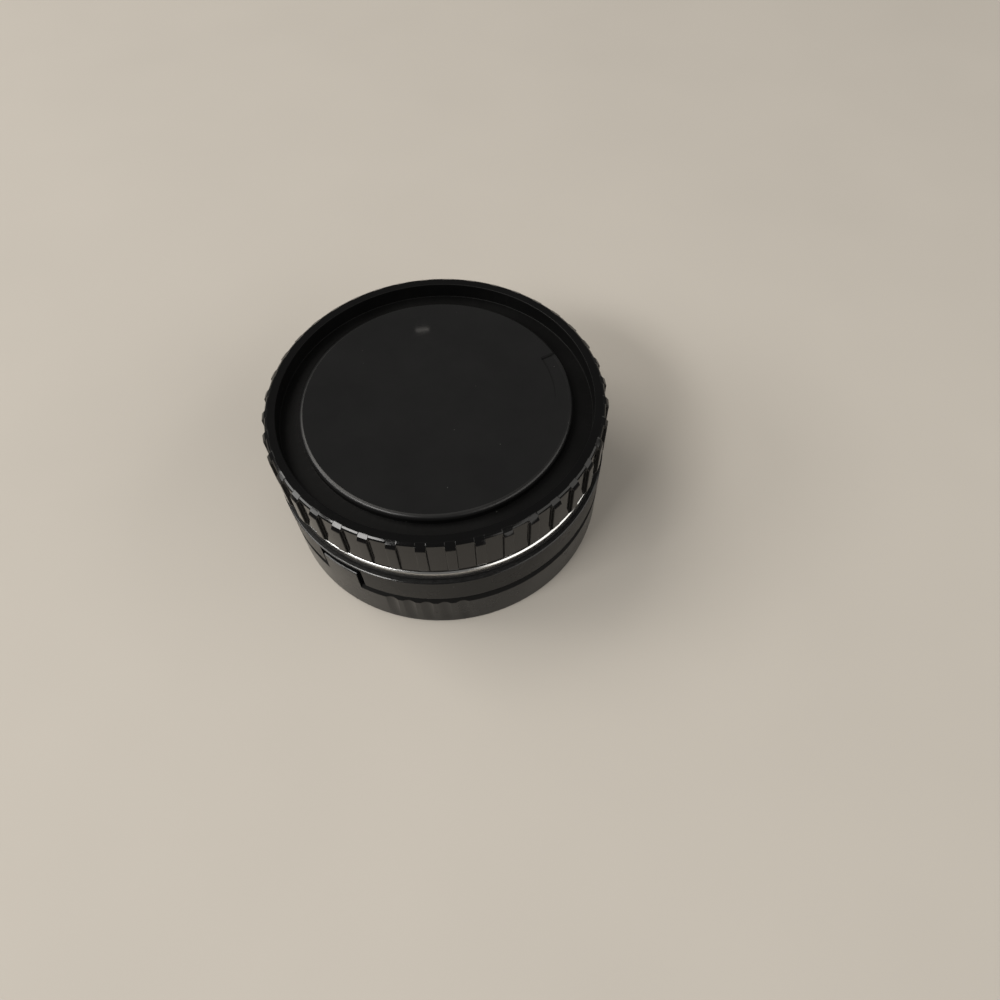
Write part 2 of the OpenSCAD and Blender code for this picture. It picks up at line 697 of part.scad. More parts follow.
module aperture_retainer_screws() {
    color([0.75, 0.75, 0.77]) around(lug_count, retainer_screw_angle) difference() {
        union() {
            post(retainer_head_r, retainer_circle_r, 0, z_retainer - retainer_head_h, z_retainer);
            post(retainer_screw_r, retainer_circle_r, 0, z_retainer - eps, z_ring_seat + retainer_screw_grip);
        }
        translate([retainer_circle_r - over, -retainer_cut / 2, z_retainer - retainer_head_h - eps])
            cube([2 * over, retainer_cut, retainer_cut]);
    }
}

// Barrel that holds the glass, with a septum between its two groups
module lens_barrel() {
    front_r = front_lens_r + seat_fit;
    rear_r = rear_lens_r + seat_fit;
    septum_r = rear_lens_r - stop_w;
    profile = [[front_r, z_cell], [cell_r - edge_break, z_cell], [cell_r, z_cell + edge_break],
        [cell_r, z_web - cell_shoulder_h], [cell_shoulder_r, z_web - cell_shoulder_h],
        [cell_shoulder_r, z_web], [cell_r, z_web], [cell_r, z_cell_end], [rear_r, z_cell_end],
        [rear_r, z_doublet], [septum_r, z_doublet], [septum_r, z_septum], [front_r, z_septum]];
    color([0.08, 0.08, 0.08]) rotate_extrude() polygon(profile);
}

module barrel_lock_ring() {
    color([0.1, 0.1, 0.1]) difference() {
        ring(cell_r + seat_fit, lock_ring_r, z_web_top, z_web_top + lock_ring_h);
        around(2) translate([cell_r - over, -spanner_notch_w / 2, z_web_top + lock_ring_h / 2])
            cube([lock_ring_r - cell_r + 2 * over, spanner_notch_w, lock_ring_h]);
    }
}

module front_element() {
    color([0.6, 0.7, 0.8, 0.5])
        lens(front_lens_r, z_front_glass, z_front_glass + front_glass_edge, front_bulge, -front_hollow);
}

module front_retaining_ring() {
    lip_r = front_lens_r - stop_w;
    top = z_front_glass - rise_at(front_bulge, front_lens_r, lip_r) - eps;
    color([0.07, 0.07, 0.07]) difference() {
        ring(lip_r, front_lens_r, top - ring_stop_t, top);
        around(2) translate([lip_r - over, -spanner_notch_w / 2, top - ring_stop_t - eps])
            cube([stop_w + 2 * over, spanner_notch_w, ring_stop_t / 2]);
    }
}

module front_spacer() {
    color([0.07, 0.07, 0.07])
        ring(front_lens_r - stop_w, front_lens_r, z_front_glass + front_glass_edge, z_septum);
}

module doublet_flint() {
    color([0.6, 0.7, 0.8, 0.5]) lens(rear_lens_r, z_doublet, z_doublet + doublet_edge, -doublet_front_hollow,
        -cement_hollow);
}

module doublet_crown() {
    color([0.6, 0.7, 0.8, 0.5]) lens(rear_lens_r, z_crown, z_crown + crown_edge, cement_hollow, 0);
}

module rear_spacer() {
    color([0.07, 0.07, 0.07]) ring(rear_lens_r - stop_w, rear_lens_r, z_spacer, z_rear_glass);
}

module rear_element() {
    color([0.6, 0.7, 0.8, 0.5]) lens(rear_lens_r, z_rear_glass, z_rear_glass + rear_glass_edge, -rear_hollow,
        rear_bulge);
}

module rear_retaining_ring() {
    lip_r = rear_lens_r - stop_w;
    bottom = z_rear_glass + rear_glass_edge + rise_at(rear_bulge, rear_lens_r, lip_r) + eps;
    color([0.07, 0.07, 0.07]) ring(lip_r, rear_lens_r, bottom, bottom + ring_stop_t);
}

// Black cup with a frame-shaped window over the rear glass
module rear_baffle() {
    in_r = cell_r + seat_fit;
    out_r = in_r + baffle_wall;
    color([0.05, 0.05, 0.05]) difference() {
        rotate_extrude() polygon([[0, z_cell_end + eps], [in_r, z_cell_end + eps],
            [in_r, z_cell_end - baffle_lap], [out_r, z_cell_end - baffle_lap],
            [out_r, z_cell_end + baffle_wall], [0, z_cell_end + baffle_wall]]);
        translate([-window_l / 2, -window_w / 2, z_cell_end - over])
            cube([window_l, window_w, baffle_wall + 2 * over]);
    }
}

// Red beads that show how the converter is turned when it is mounted
module index_beads() {
    proud = 0.02;
    color([0.75, 0.1, 0.08]) {
        rotate([0, 0, lever_angle]) translate([barrel_r - barrel_wall / 2, 0, (z_shell + z_shell_top) / 2])
            rotate([0, 90, 0]) cylinder(r = index_r, h = barrel_wall / 2 + proud, $fn = round_fn);
        post(index_r, pin_circle_r, lever_angle, z_front - proud, z_front + front_flange_t / 2);
    }
}

rear_cap();
rear_bayonet();
rear_bayonet_screws();
neck_ring();
rear_shell();
main_frame();
release_ring();
release_spring();
front_bayonet();
front_bayonet_screws();
bayonet_leaf_springs();
lens_lock_pin();
lock_pin_spring();
aperture_ring();
aperture_spring();
aperture_retainer();
aperture_retainer_screws();
lens_barrel();
barrel_lock_ring();
front_element();
front_retaining_ring();
front_spacer();
doublet_flint();
doublet_crown();
rear_spacer();
rear_element();
rear_retaining_ring();
rear_baffle();
index_beads();
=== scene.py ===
"""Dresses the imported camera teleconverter.

The outer pieces get finer turned meshes, every node gets a finish of its own,
and the stage holds a plain pale floor, soft studio light and the camera.
Lengths in the classes are in millimetres and angles in degrees, counted from
+X seen from above; meshes are in metres.
"""

import logging
import math
from dataclasses import dataclass, field
from enum import Enum
from typing import Callable, Sequence, Union

import bmesh
import bpy
import numpy as np
from mathutils import Matrix, Vector


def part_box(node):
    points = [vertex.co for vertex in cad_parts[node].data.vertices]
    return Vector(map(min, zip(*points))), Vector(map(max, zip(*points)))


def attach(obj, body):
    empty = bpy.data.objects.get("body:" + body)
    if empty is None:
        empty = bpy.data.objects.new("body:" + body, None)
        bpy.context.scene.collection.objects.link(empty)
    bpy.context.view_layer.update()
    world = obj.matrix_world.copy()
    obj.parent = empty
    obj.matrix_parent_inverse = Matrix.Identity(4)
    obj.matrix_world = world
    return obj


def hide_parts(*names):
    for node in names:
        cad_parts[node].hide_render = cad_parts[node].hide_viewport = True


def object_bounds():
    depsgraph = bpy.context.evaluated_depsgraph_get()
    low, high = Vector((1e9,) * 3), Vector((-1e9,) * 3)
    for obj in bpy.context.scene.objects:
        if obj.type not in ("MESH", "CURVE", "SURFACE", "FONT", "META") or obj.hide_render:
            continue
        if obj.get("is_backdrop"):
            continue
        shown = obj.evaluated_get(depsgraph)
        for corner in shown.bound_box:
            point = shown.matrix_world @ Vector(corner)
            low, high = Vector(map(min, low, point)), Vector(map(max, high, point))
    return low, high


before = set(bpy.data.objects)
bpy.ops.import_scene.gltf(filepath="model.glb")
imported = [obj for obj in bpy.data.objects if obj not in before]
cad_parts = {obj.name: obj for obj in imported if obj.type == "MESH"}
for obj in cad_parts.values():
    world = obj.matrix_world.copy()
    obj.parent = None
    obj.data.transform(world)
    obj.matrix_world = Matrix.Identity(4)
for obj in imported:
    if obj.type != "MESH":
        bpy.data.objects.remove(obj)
CAD_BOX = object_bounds()

LOG = logging.getLogger("teleconverter")
MM = 0.001

# Angles over which an edge is shaded sharp, and under which two faces are one flat.
SHARP_ANGLE = math.radians(38)
FLAT_ANGLE = math.radians(0.4)
# Points of a mesh that count as one, in metres: on turned meshes and on the nodes' own,
# with the decimals that tell places on a node apart.
TURNED_GAP = 1e-8
NODE_GAP = 1e-7
NODE_DIGITS = 7
# Angles in degrees and heights in millimetres that count as the same,
# and the decimals that are kept of a height.
ANGLE_GAP = 2e-3
HEIGHT_GAP = 1e-3
HEIGHT_DIGITS = 4
# Lead of large faces over small ones in the shading: on turned pieces, on the flange
# and on the nodes.
TURNED_LEAD = 80
FLANGE_LEAD = 50
NODE_LEAD = 100
# A sloped edge's lighter, glossier finish, a painted highlight, stops this far under the top, and
# reaches this far past the slope.
SLOPE_DROP = 0.01
SLOPE_REACH = 0.02

Colour = tuple[float, float, float]
Corner = tuple[float, float, float]
Socket = bpy.types.NodeSocket


class Axis(Enum):
    """Directions that a pattern can follow on a turned piece."""

    ROUND = "round"
    ALL = "all"


# Profiles and turned meshes


def rounded(corners: Sequence[Corner], closed: bool, steps: int = 4) -> np.ndarray:
    """Rounds the corners of a profile.

    Args:
        corners: Radius, height and rounding of each corner, in millimetres.
        closed: Whether the last corner joins the first one.
        steps: Segments in each rounding.

    Returns:
        Rows of radius and height.
    """
    points: list[np.ndarray] = []
    count = len(corners)
    for i, (r, z, rounding) in enumerate(corners):
        here = np.array([r, z], float)
        inner = closed or 0 < i < count - 1
        if rounding <= 0 or not inner:
            points.append(here)
            continue
        back = np.array(corners[i - 1][:2], float) - here
        ahead = np.array(corners[(i + 1) % count][:2], float) - here
        back /= np.linalg.norm(back)
        ahead /= np.linalg.norm(ahead)
        half = math.acos(float(np.clip(back @ ahead, -1, 1))) / 2
        middle = (back + ahead) / np.linalg.norm(back + ahead)
        centre = here + middle * rounding / math.sin(half)
        start = here + back * rounding / math.tan(half) - centre
        end = here + ahead * rounding / math.tan(half) - centre
        swing = math.pi - 2 * half
        for k in range(steps + 1):
            share = k / steps
            weight_a = math.sin((1 - share) * swing) / math.sin(swing)
            weight_b = math.sin(share * swing) / math.sin(swing)
            points.append(centre + weight_a * start + weight_b * end)
    return np.array(points)


def levelled(first: np.ndarray, second: np.ndarray) -> tuple[np.ndarray, np.ndarray]:
    """Gives two rising profiles the same heights.

    Args:
        first: Rows of radius and height, rising.
        second: Rows of radius and height, rising.

    Returns:
        Both profiles, sampled at the heights of either.
    """
    heights = np.concatenate([first[:, 1], second[:, 1]])
    heights = np.unique(np.round(heights, HEIGHT_DIGITS))
    both = []
    for profile in (first, second):
        radii = np.interp(heights, profile[:, 1], profile[:, 0])
        both.append(np.column_stack([radii, heights]))
    return both[0], both[1]


def filled(profile: np.ndarray, count: int) -> np.ndarray:
    """Adds points on a profile's longest segments and keeps its corners.

    Args:
        profile: Rows of radius and height.
        count: Rows wanted, not fewer than the profile has.

    Returns:
        The profile with that many rows.
    """
    rows = list(profile)
    while len(rows) < count:
        steps = [np.linalg.norm(b - a) for a, b in zip(rows, rows[1:])]
        i = int(np.argmax(steps))
        rows.insert(i + 1, (rows[i] + rows[i + 1]) / 2)
    return np.array(rows)


def spread(*groups: Sequence[float], base: int = 0) -> np.ndarray:
    """Joins lists of angles into one rising list over a full turn.

    Args:
        groups: Lists of angles, in degrees.
        base: Number of even steps that are added to them.

    Returns:
        The angles from -180 up to 180, without near doubles.
    """
    even = np.arange(base) * 360 / base if base else np.zeros(0)
    every = np.concatenate([even, *[np.asarray(g, float) for g in groups]])
    every = np.sort((every + 180) % 360 - 180)
    keep = np.concatenate([[True], np.diff(every) > ANGLE_GAP])
    return every[keep]


def placed(name: str, data: bpy.types.ID) -> bpy.types.Object:
    """Makes an object of a mesh, a lamp or a camera.

    Args:
        name: Name of the new object.
        data: The mesh, lamp or camera.

    Returns:
        The new object, linked to the scene.
    """
    thing = bpy.data.objects.new(name, data)
    bpy.context.scene.collection.objects.link(thing)
    return thing


def even_normals(piece: bpy.types.Object, lead: int) -> None:
    """Lets a piece's large faces lead the shading of the small ones beside them.

    Args:
        piece: The piece.
        lead: Lead of the large faces, 50 for a plain mean and 100 at most.
    """
    normals = piece.modifiers.new("normals", "WEIGHTED_NORMAL")
    normals.weight = lead
    normals.keep_sharp = True


def turned(
    name: str, angles: np.ndarray, section: Callable[[float], np.ndarray], closed: bool
) -> bpy.types.Object:
    """Carries a section round the axis and makes a mesh of it.

    Args:
        name: Name of the new object.
        angles: Angles at which the section is set, in degrees and rising.
        section: Gives the rows of radius and height at an angle.
        closed: Whether the section is a closed loop; if not, it ends on the axis.

    Returns:
        The new object, linked to the scene.
    """
    rows = [section(float(a)) for a in angles]
    points = []
    for angle, row in zip(np.radians(angles), rows):
        x, y = row[:, 0] * np.cos(angle), row[:, 0] * np.sin(angle)
        points.append(np.column_stack([x, y, row[:, 1]]))
    depth = len(rows[0])
    links = depth if closed else depth - 1
    faces = []
    for i in range(len(angles)):
        here, there = i * depth, (i + 1) % len(angles) * depth
        for k in range(links):
            up = (k + 1) % depth
            faces.append((here + k, there + k, there + up, here + up))
    mesh = bpy.data.meshes.new(name)
    mesh.from_pydata((np.concatenate(points) * MM).tolist(), [], faces)
    work = bmesh.new()
    work.from_mesh(mesh)
    bmesh.ops.remove_doubles(work, verts=work.verts, dist=TURNED_GAP)
    bmesh.ops.dissolve_degenerate(work, edges=work.edges, dist=TURNED_GAP)
    work.to_mesh(mesh)
    work.free()
    mesh.shade_smooth()
    mesh.set_sharp_from_angle(angle=SHARP_ANGLE)
    piece = placed(name, mesh)
    even_normals(piece, TURNED_LEAD)
    return piece


def put_in_order(work: bmesh.types.BMesh) -> None:
    """Sorts a mesh's points and faces by place, the same way in every run.

    Args:
        work: The mesh.
    """
    places = {v: v.co for v in work.verts}
    places.update((face, face.calc_center_median()) for face in work.faces)
    keys = {item: [round(c, NODE_DIGITS) for c in place] for item, place in places.items()}
    for items in (work.verts, work.faces):
        ranks = {item: i for i, item in enumerate(sorted(items, key=keys.get))}
        items.sort(key=ranks.get)


def on_top_slope(
    centre: Vector, radius: float, top: float, slope: tuple[float, float]
) -> bool:
    """Tells whether a face lies on the slope along a turned piece's top edge.

    Args:
        centre: The face's centre, in millimetres.
        radius: Outer radius of the piece.
        top: Height of its top.
        slope: Width and height of the slope.

    Returns:
        Whether it does.
    """
    width, drop = slope
    if not top - drop < centre.z < top - SLOPE_DROP:
        return False
    return centre.xy.length > radius - width - SLOPE_REACH


# Finishes


class Web:
    """A material's node tree, with short calls that add nodes and link them."""

    def __init__(self, name: str) -> None:
        """Starts a material with a Principled shader.

        Args:
            name: Name of the material.
        """
        self.material = bpy.data.materials.new(name)
        self.material.use_nodes = True
        self.tree = self.material.node_tree
        self.shader = self.tree.nodes["Principled BSDF"]

    def add(self, kind: str, **values: object) -> bpy.types.Node:
        """Adds a node.

        Args:
            kind: Blender's name of the node type.
            values: Attributes of the node.

        Returns:
            The new node.
        """
        node = self.tree.nodes.new(kind)
        for key, value in values.items():
            setattr(node, key, value)
        return node

    def link(self, source: Socket, target: Socket) -> None:
        """Links two sockets."""
        self.tree.links.new(source, target)

    def place(self, axis: Axis, scale: float) -> Socket:
        """Gives pattern coordinates on the object, in millimetres times scale.

        Args:
            axis: ALL for plain coordinates, ROUND for rings about the axis.
            scale: Pattern cells per millimetre.

        Returns:
            The vector socket.
        """
        source = self.add("ShaderNodeTexCoord").outputs["Object"]
        if axis is Axis.ALL:
            mapping = self.add("ShaderNodeMapping")
            mapping.inputs["Scale"].default_value = (scale / MM,) * 3
            self.link(source, mapping.inputs["Vector"])
            return mapping.outputs["Vector"]
        split = self.add("ShaderNodeSeparateXYZ")
        self.link(source, split.inputs[0])
        flat = self.add("ShaderNodeCombineXYZ")
        self.link(split.outputs["X"], flat.inputs["X"])
        self.link(split.outputs["Y"], flat.inputs["Y"])
        radius = self.add("ShaderNodeVectorMath", operation="LENGTH")
        self.link(flat.outputs[0], radius.inputs[0])
        rings = self.add("ShaderNodeCombineXYZ")
        for length, target in ((radius.outputs["Value"], "X"), (split.outputs["Z"], "Y")):
            scaled = self.add("ShaderNodeMath", operation="MULTIPLY")
            scaled.inputs[1].default_value = scale / MM
            self.link(length, scaled.inputs[0])
            self.link(scaled.outputs[0], rings.inputs[target])
        return rings.outputs[0]

    def noise(
        self, axis: Axis, scale: float, detail: float = 3.0, rough: float = 0.55
    ) -> Socket:
        """Adds a noise pattern.

        Args:
            axis: How the pattern lies on the piece.
            scale: Cells per millimetre.
            detail: Octaves of the noise.
            rough: Share of each finer octave.

        Returns:
            The value socket, about 0.5 on average.
        """
        node = self.add("ShaderNodeTexNoise")
        node.inputs["Scale"].default_value = 1.0
        node.inputs["Detail"].default_value = detail
        node.inputs["Roughness"].default_value = rough
        self.link(self.place(axis, scale), node.inputs["Vector"])
        return node.outputs["Fac"]

    def between(
        self, value: Socket, low: float, high: float, at: tuple[float, float] = (0.3, 0.7)
    ) -> Socket:
        """Maps a value to a range.

        Args:
            value: Socket to map.
            low: Result at the lower end.
            high: Result at the upper end.
            at: Values that give the two ends.

        Returns:
            The mapped socket.
        """
        node = self.add("ShaderNodeMapRange")
        node.inputs["From Min"].default_value = at[0]
        node.inputs["From Max"].default_value = at[1]
        node.inputs["To Min"].default_value = low
        node.inputs["To Max"].default_value = high
        self.link(value, node.inputs["Value"])
        return node.outputs["Result"]

    def mix(
        self, share: Socket, first: Union[Colour, Socket], second: Union[Colour, Socket]
    ) -> Socket:
        """Mixes two colours.

        Args:
            share: Socket that gives the second colour's share.
            first: Colour or socket at share 0.
            second: Colour or socket at share 1.

        Returns:
            The mixed colour socket.
        """
        # Of this node's sockets, inputs 6 and 7 and output 2 are the ones for colours.
        node = self.add("ShaderNodeMix", data_type="RGBA")
        self.link(share, node.inputs[0])
        for source, target in ((first, node.inputs[6]), (second, node.inputs[7])):
            if isinstance(source, tuple):
                target.default_value = (*source, 1.0)
            else:
                self.link(source, target)
        return node.outputs[2]

    def specks(self, scale: float, size: float, share: float) -> Socket:
        """Adds scattered dots.

        Args:
            scale: Cells per millimetre.
            size: Radius of a dot, in cells.
            share: Share of the cells that hold a dot.

        Returns:
            A socket that is 1 inside the dots and 0 outside.
        """
        cells = self.add("ShaderNodeTexVoronoi")
        cells.inputs["Scale"].default_value = 1.0
        self.link(self.place(Axis.ALL, scale), cells.inputs["Vector"])
        near = self.between(cells.outputs["Distance"], 1.0, 0.0, (size * 0.5, size))
        split = self.add("ShaderNodeSeparateColor")
        self.link(cells.outputs["Color"], split.inputs[0])
        chosen = self.add("ShaderNodeMath", operation="LESS_THAN")
        chosen.inputs[1].default_value = share
        self.link(split.outputs[0], chosen.inputs[0])
        both = self.add("ShaderNodeMath", operation="MULTIPLY")
        self.link(near, both.inputs[0])
        self.link(chosen.outputs[0], both.inputs[1])
        return both.outputs[0]

    def bump(self, height: Socket, depth: float) -> Socket:
        """Adds a bump.

        Args:
            height: Socket of the height, 0 to 1.
            depth: Height that 1 stands for, in millimetres.

        Returns:
            The normal socket.
        """
        node = self.add("ShaderNodeBump")
        node.inputs["Distance"].default_value = depth * MM
        node.inputs["Strength"].default_value = 1.0
        self.link(height, node.inputs["Height"])
        return node.outputs["Normal"]


# Octaves in the patches and in the grain, and the dust's cells per millimetre and the
# radius of a speck in its cell.
PATCH_DETAIL = 4.0
GRAIN_DETAIL = 2.0
DUST_CELLS = 0.8
DUST_SIZE = 0.1


@dataclass(frozen=True)
class Finish:
    """A surface finish: colour, gloss, grain and dust.

    Attributes:
        name: Name of the material.
        base: Main colour, linear.
        shade: Colour of the uneven patches.
        gloss: Roughness at the patches' two ends.
        metal: Metallic share.
        patch: Patches per millimetre.
        grain: Grain cells per millimetre.
        grain_depth: Depth of the grain.
        grain_axis: How the grain lies.
        dust: Share of cells with a dust speck.
        dust_colour: Colour of the specks.
        ior: Index of refraction.
        coat: Weight of the clear coat.
        sheen: Specular level, 0.5 for a full reflection.
    """

    name: str
    base: Colour
    shade: Colour
    gloss: tuple[float, float]
    metal: float = 0.0
    patch: float = 0.12
    grain: float = 6.0
    grain_depth: float = 0.01
    grain_axis: Axis = Axis.ALL
    dust: float = 0.0
    dust_colour: Colour = (0.30, 0.29, 0.27)
    ior: float = 1.5
    coat: float = 0.0
    sheen: float = 0.5

    def material(self) -> bpy.types.Material:
        """Builds the material.

        Returns:
            The new material.
        """
        web = Web(self.name)
        shader = web.shader
        shader.inputs["Metallic"].default_value = self.metal
        shader.inputs["IOR"].default_value = self.ior
        shader.inputs["Coat Weight"].default_value = self.coat
        shader.inputs["Specular IOR Level"].default_value = self.sheen
        patches = web.noise(Axis.ALL, self.patch, PATCH_DETAIL)
        colour = web.mix(web.between(patches, 0.0, 1.0), self.base, self.shade)
        if self.dust > 0:
            dots = web.specks(DUST_CELLS, DUST_SIZE, self.dust)
            colour = web.mix(dots, colour, self.dust_colour)
        web.link(colour, shader.inputs["Base Color"])
        web.link(web.between(patches, *self.gloss), shader.inputs["Roughness"])
        grain = web.noise(self.grain_axis, self.grain, GRAIN_DETAIL)
        web.link(web.bump(grain, self.grain_depth), shader.inputs["Normal"])
        return web.material


@dataclass(frozen=True)
class Glass:
    """Optical glass with a coloured coating.

    Attributes:
        name: Name of the material.
        body: Colour of the glass.
        coating: Tint of the reflections.
        ior: Index of refraction.
        film: Patches of the coating's film per millimetre.
        film_share: Brightness of the glass where the film is thick.
        gloss: Roughness at the film's two ends.
    """

    name: str
    body: Colour
    coating: Colour
    ior: float
    film: float = 0.05
    film_share: float = 0.96
    gloss: tuple[float, float] = (0.005, 0.03)

    def material(self) -> bpy.types.Material:
        """Builds the material.

        Returns:
            The new material.
        """
        web = Web(self.name)
        shader = web.shader
        shader.inputs["Transmission Weight"].default_value = 1.0
        shader.inputs["IOR"].default_value = self.ior
        shader.inputs["Specular Tint"].default_value = (*self.coating, 1.0)
        film = web.noise(Axis.ALL, self.film, GRAIN_DETAIL)
        dim = tuple(self.film_share * c for c in self.body)
        colour = web.mix(web.between(film, 0.0, 1.0), self.body, dim)
        web.link(colour, shader.inputs["Base Color"])
        web.link(web.between(film, *self.gloss), shader.inputs["Roughness"])
        return web.material


class Finishes(Enum):
    """The finishes of the teleconverter's pieces."""

    CAP = Finish(
        "moulded cap plastic", (0.0016, 0.0016, 0.0017), (0.0024, 0.0024, 0.0025), (0.09, 0.14),
        grain=3.0, grain_depth=0.0015, dust=0.02, sheen=0.3)
    DISC = Finish(
        "polished cap plastic", (0.0068, 0.0069, 0.0071), (0.0088, 0.0089, 0.0091), (0.035, 0.05),
        grain=0.8, grain_depth=0.0002, dust=0.04, dust_colour=(0.045, 0.045, 0.043), sheen=0.45)
    EDGE = Finish(
        "grained cap plastic", (0.0060, 0.0060, 0.0062), (0.0080, 0.0080, 0.0082), (0.30, 0.38),
        grain=5.0, grain_depth=0.008, dust=0.04, dust_colour=(0.05, 0.05, 0.048), sheen=0.42)
    # Dull finish of the trough; on the ribs' sides and the cap's lower edge it is painted shade.
    TROUGH = Finish(
        "dull cap plastic and painted shade", (0.0020, 0.0020, 0.0020), (0.0030, 0.0030, 0.0030), (0.42, 0.55),
        grain=5.0, grain_depth=0.006, dust=0.06, dust_colour=(0.05, 0.05, 0.048), sheen=0.14)
    RING = Finish(
        "satin ring paint", (0.0038, 0.0043, 0.0050), (0.0054, 0.0060, 0.0068), (0.22, 0.29),
        grain=9.0, grain_depth=0.003, dust=0.02, sheen=0.28)
    SHELL = Finish(
        "satin shell paint", (0.0024, 0.0029, 0.0035), (0.0038, 0.0043, 0.0049), (0.25, 0.33),
        grain=9.0, grain_depth=0.003, dust=0.02, sheen=0.14)
    # A lighter, glossier strip along the shell's and the tab's top edges: painted highlight.
    WORN = Finish(
        "paint edge with painted highlight", (0.006, 0.006, 0.006), (0.010, 0.010, 0.010), (0.12, 0.2),
        patch=0.5, grain=9.0, grain_depth=0.002, sheen=0.3)
    STIPPLE = Finish(
        "stippled neck paint", (0.005, 0.005, 0.005), (0.016, 0.016, 0.016), (0.45, 0.6),
        patch=2.2, grain=3.6, grain_depth=0.11, sheen=0.15)
    # Matte black on the release ring's top in the groove: painted shade under the shell's edge.
    GROOVE = Finish(
        "matte groove black as painted shade", (0.0025, 0.0025, 0.0025), (0.0035, 0.0035, 0.0035), (0.6, 0.75),
        patch=1.2, grain=6.0, grain_depth=0.02, sheen=0.15)
    CHROME = Finish(
        "turned chrome", (0.66, 0.66, 0.65), (0.58, 0.58, 0.575), (0.16, 0.26), metal=1.0,
        grain=14.0, grain_depth=0.0015, grain_axis=Axis.ROUND)
    SCREW = Finish(
        "bright screw steel", (0.56, 0.56, 0.57), (0.46, 0.46, 0.46), (0.2, 0.34), metal=1.0,
        patch=0.6, grain=16.0, grain_depth=0.002)
    FRAME = Finish(
        "black anodised alloy", (0.016, 0.016, 0.017), (0.024, 0.024, 0.025), (0.4, 0.52),
        grain=12.0, grain_depth=0.004, grain_axis=Axis.ROUND)
    SPRING = Finish(
        "spring steel", (0.50, 0.48, 0.44), (0.38, 0.36, 0.32), (0.24, 0.38), metal=1.0,
        patch=0.7, grain=18.0, grain_depth=0.002)
    PIN = Finish(
        "polished pin steel", (0.60, 0.59, 0.57), (0.50, 0.49, 0.47), (0.14, 0.24), metal=1.0,
        patch=0.8, grain=20.0, grain_depth=0.0015)
    LEVER = Finish(
        "blackened brass", (0.050, 0.045, 0.036), (0.085, 0.072, 0.048), (0.34, 0.48), metal=0.6,
        patch=0.4, grain=12.0, grain_depth=0.003, grain_axis=Axis.ROUND)
    RETAINER = Finish(
        "grey anodised alloy", (0.11, 0.11, 0.112), (0.15, 0.15, 0.15), (0.34, 0.46), metal=0.8,
        grain=14.0, grain_depth=0.003, grain_axis=Axis.ROUND)
    BAFFLE = Finish(
        "flocked baffle black", (0.005, 0.005, 0.005), (0.010, 0.010, 0.010), (0.8, 0.95),
        patch=3.0, grain=9.0, grain_depth=0.05)
    CELL = Finish(
        "matte barrel black", (0.010, 0.010, 0.010), (0.016, 0.016, 0.016), (0.5, 0.64),
        grain=10.0, grain_depth=0.006, grain_axis=Axis.ROUND)
    INDEX = Finish(
        "red index enamel", (0.48, 0.018, 0.012), (0.40, 0.014, 0.010), (0.2, 0.3),
        patch=1.2, grain=4.0, grain_depth=0.004, coat=0.3)
    FRONT_GLASS = Glass("amber coated glass", (0.96, 0.98, 0.97), (1.0, 0.72, 0.42), 1.62)
    INNER_GLASS = Glass("blue coated glass", (0.97, 0.98, 0.99), (0.55, 0.66, 1.0), 1.58)

    def made(self) -> bpy.types.Material:
        """Gives the finish's material, built at the first call."""
        return bpy.data.materials.get(self.value.name) or self.value.material()

    def paint(self, piece: bpy.types.Object) -> None:
        """Gives the finish to a whole piece."""
        piece.data.materials.clear()
        piece.data.materials.append(self.made())

    def paint_where(self, piece: bpy.types.Object, chosen: Callable[[Vector], bool]) -> None:
        """Gives the finish to some faces of a piece.

        Args:
            piece: The piece, which has its main finish.
            chosen: Tells from a face's centre, in millimetres, whether the face takes it.
        """
        piece.data.materials.append(self.made())
        last = len(piece.data.materials) - 1
        for face in piece.data.polygons:
            if chosen(face.center / MM):
                face.material_index = last


NODE_FINISHES: dict[str, Finishes] = {
    "rear_bayonet_screws": Finishes.SCREW,
    "main_frame": Finishes.FRAME,
    "release_spring": Finishes.SPRING,
    "front_bayonet": Finishes.CHROME,
    "front_bayonet_screws": Finishes.SCREW,
    "bayonet_leaf_springs": Finishes.SPRING,
    "lens_lock_pin": Finishes.PIN,
    "lock_pin_spring": Finishes.SPRING,
    "aperture_ring": Finishes.LEVER,
    "aperture_spring": Finishes.SPRING,
    "aperture_retainer": Finishes.RETAINER,
    "aperture_retainer_screws": Finishes.SCREW,
    "lens_barrel": Finishes.CELL,
    "barrel_lock_ring": Finishes.FRAME,
    "front_element": Finishes.FRONT_GLASS,
    "front_retaining_ring": Finishes.CELL,
    "front_spacer": Finishes.CELL,
    "doublet_flint": Finishes.INNER_GLASS,
    "doublet_crown": Finishes.INNER_GLASS,
    "rear_spacer": Finishes.CELL,
    "rear_element": Finishes.INNER_GLASS,
    "rear_retaining_ring": Finishes.CELL,
    "rear_baffle": Finishes.BAFFLE,
    "index_beads": Finishes.INDEX,
}


# Sub-assemblies


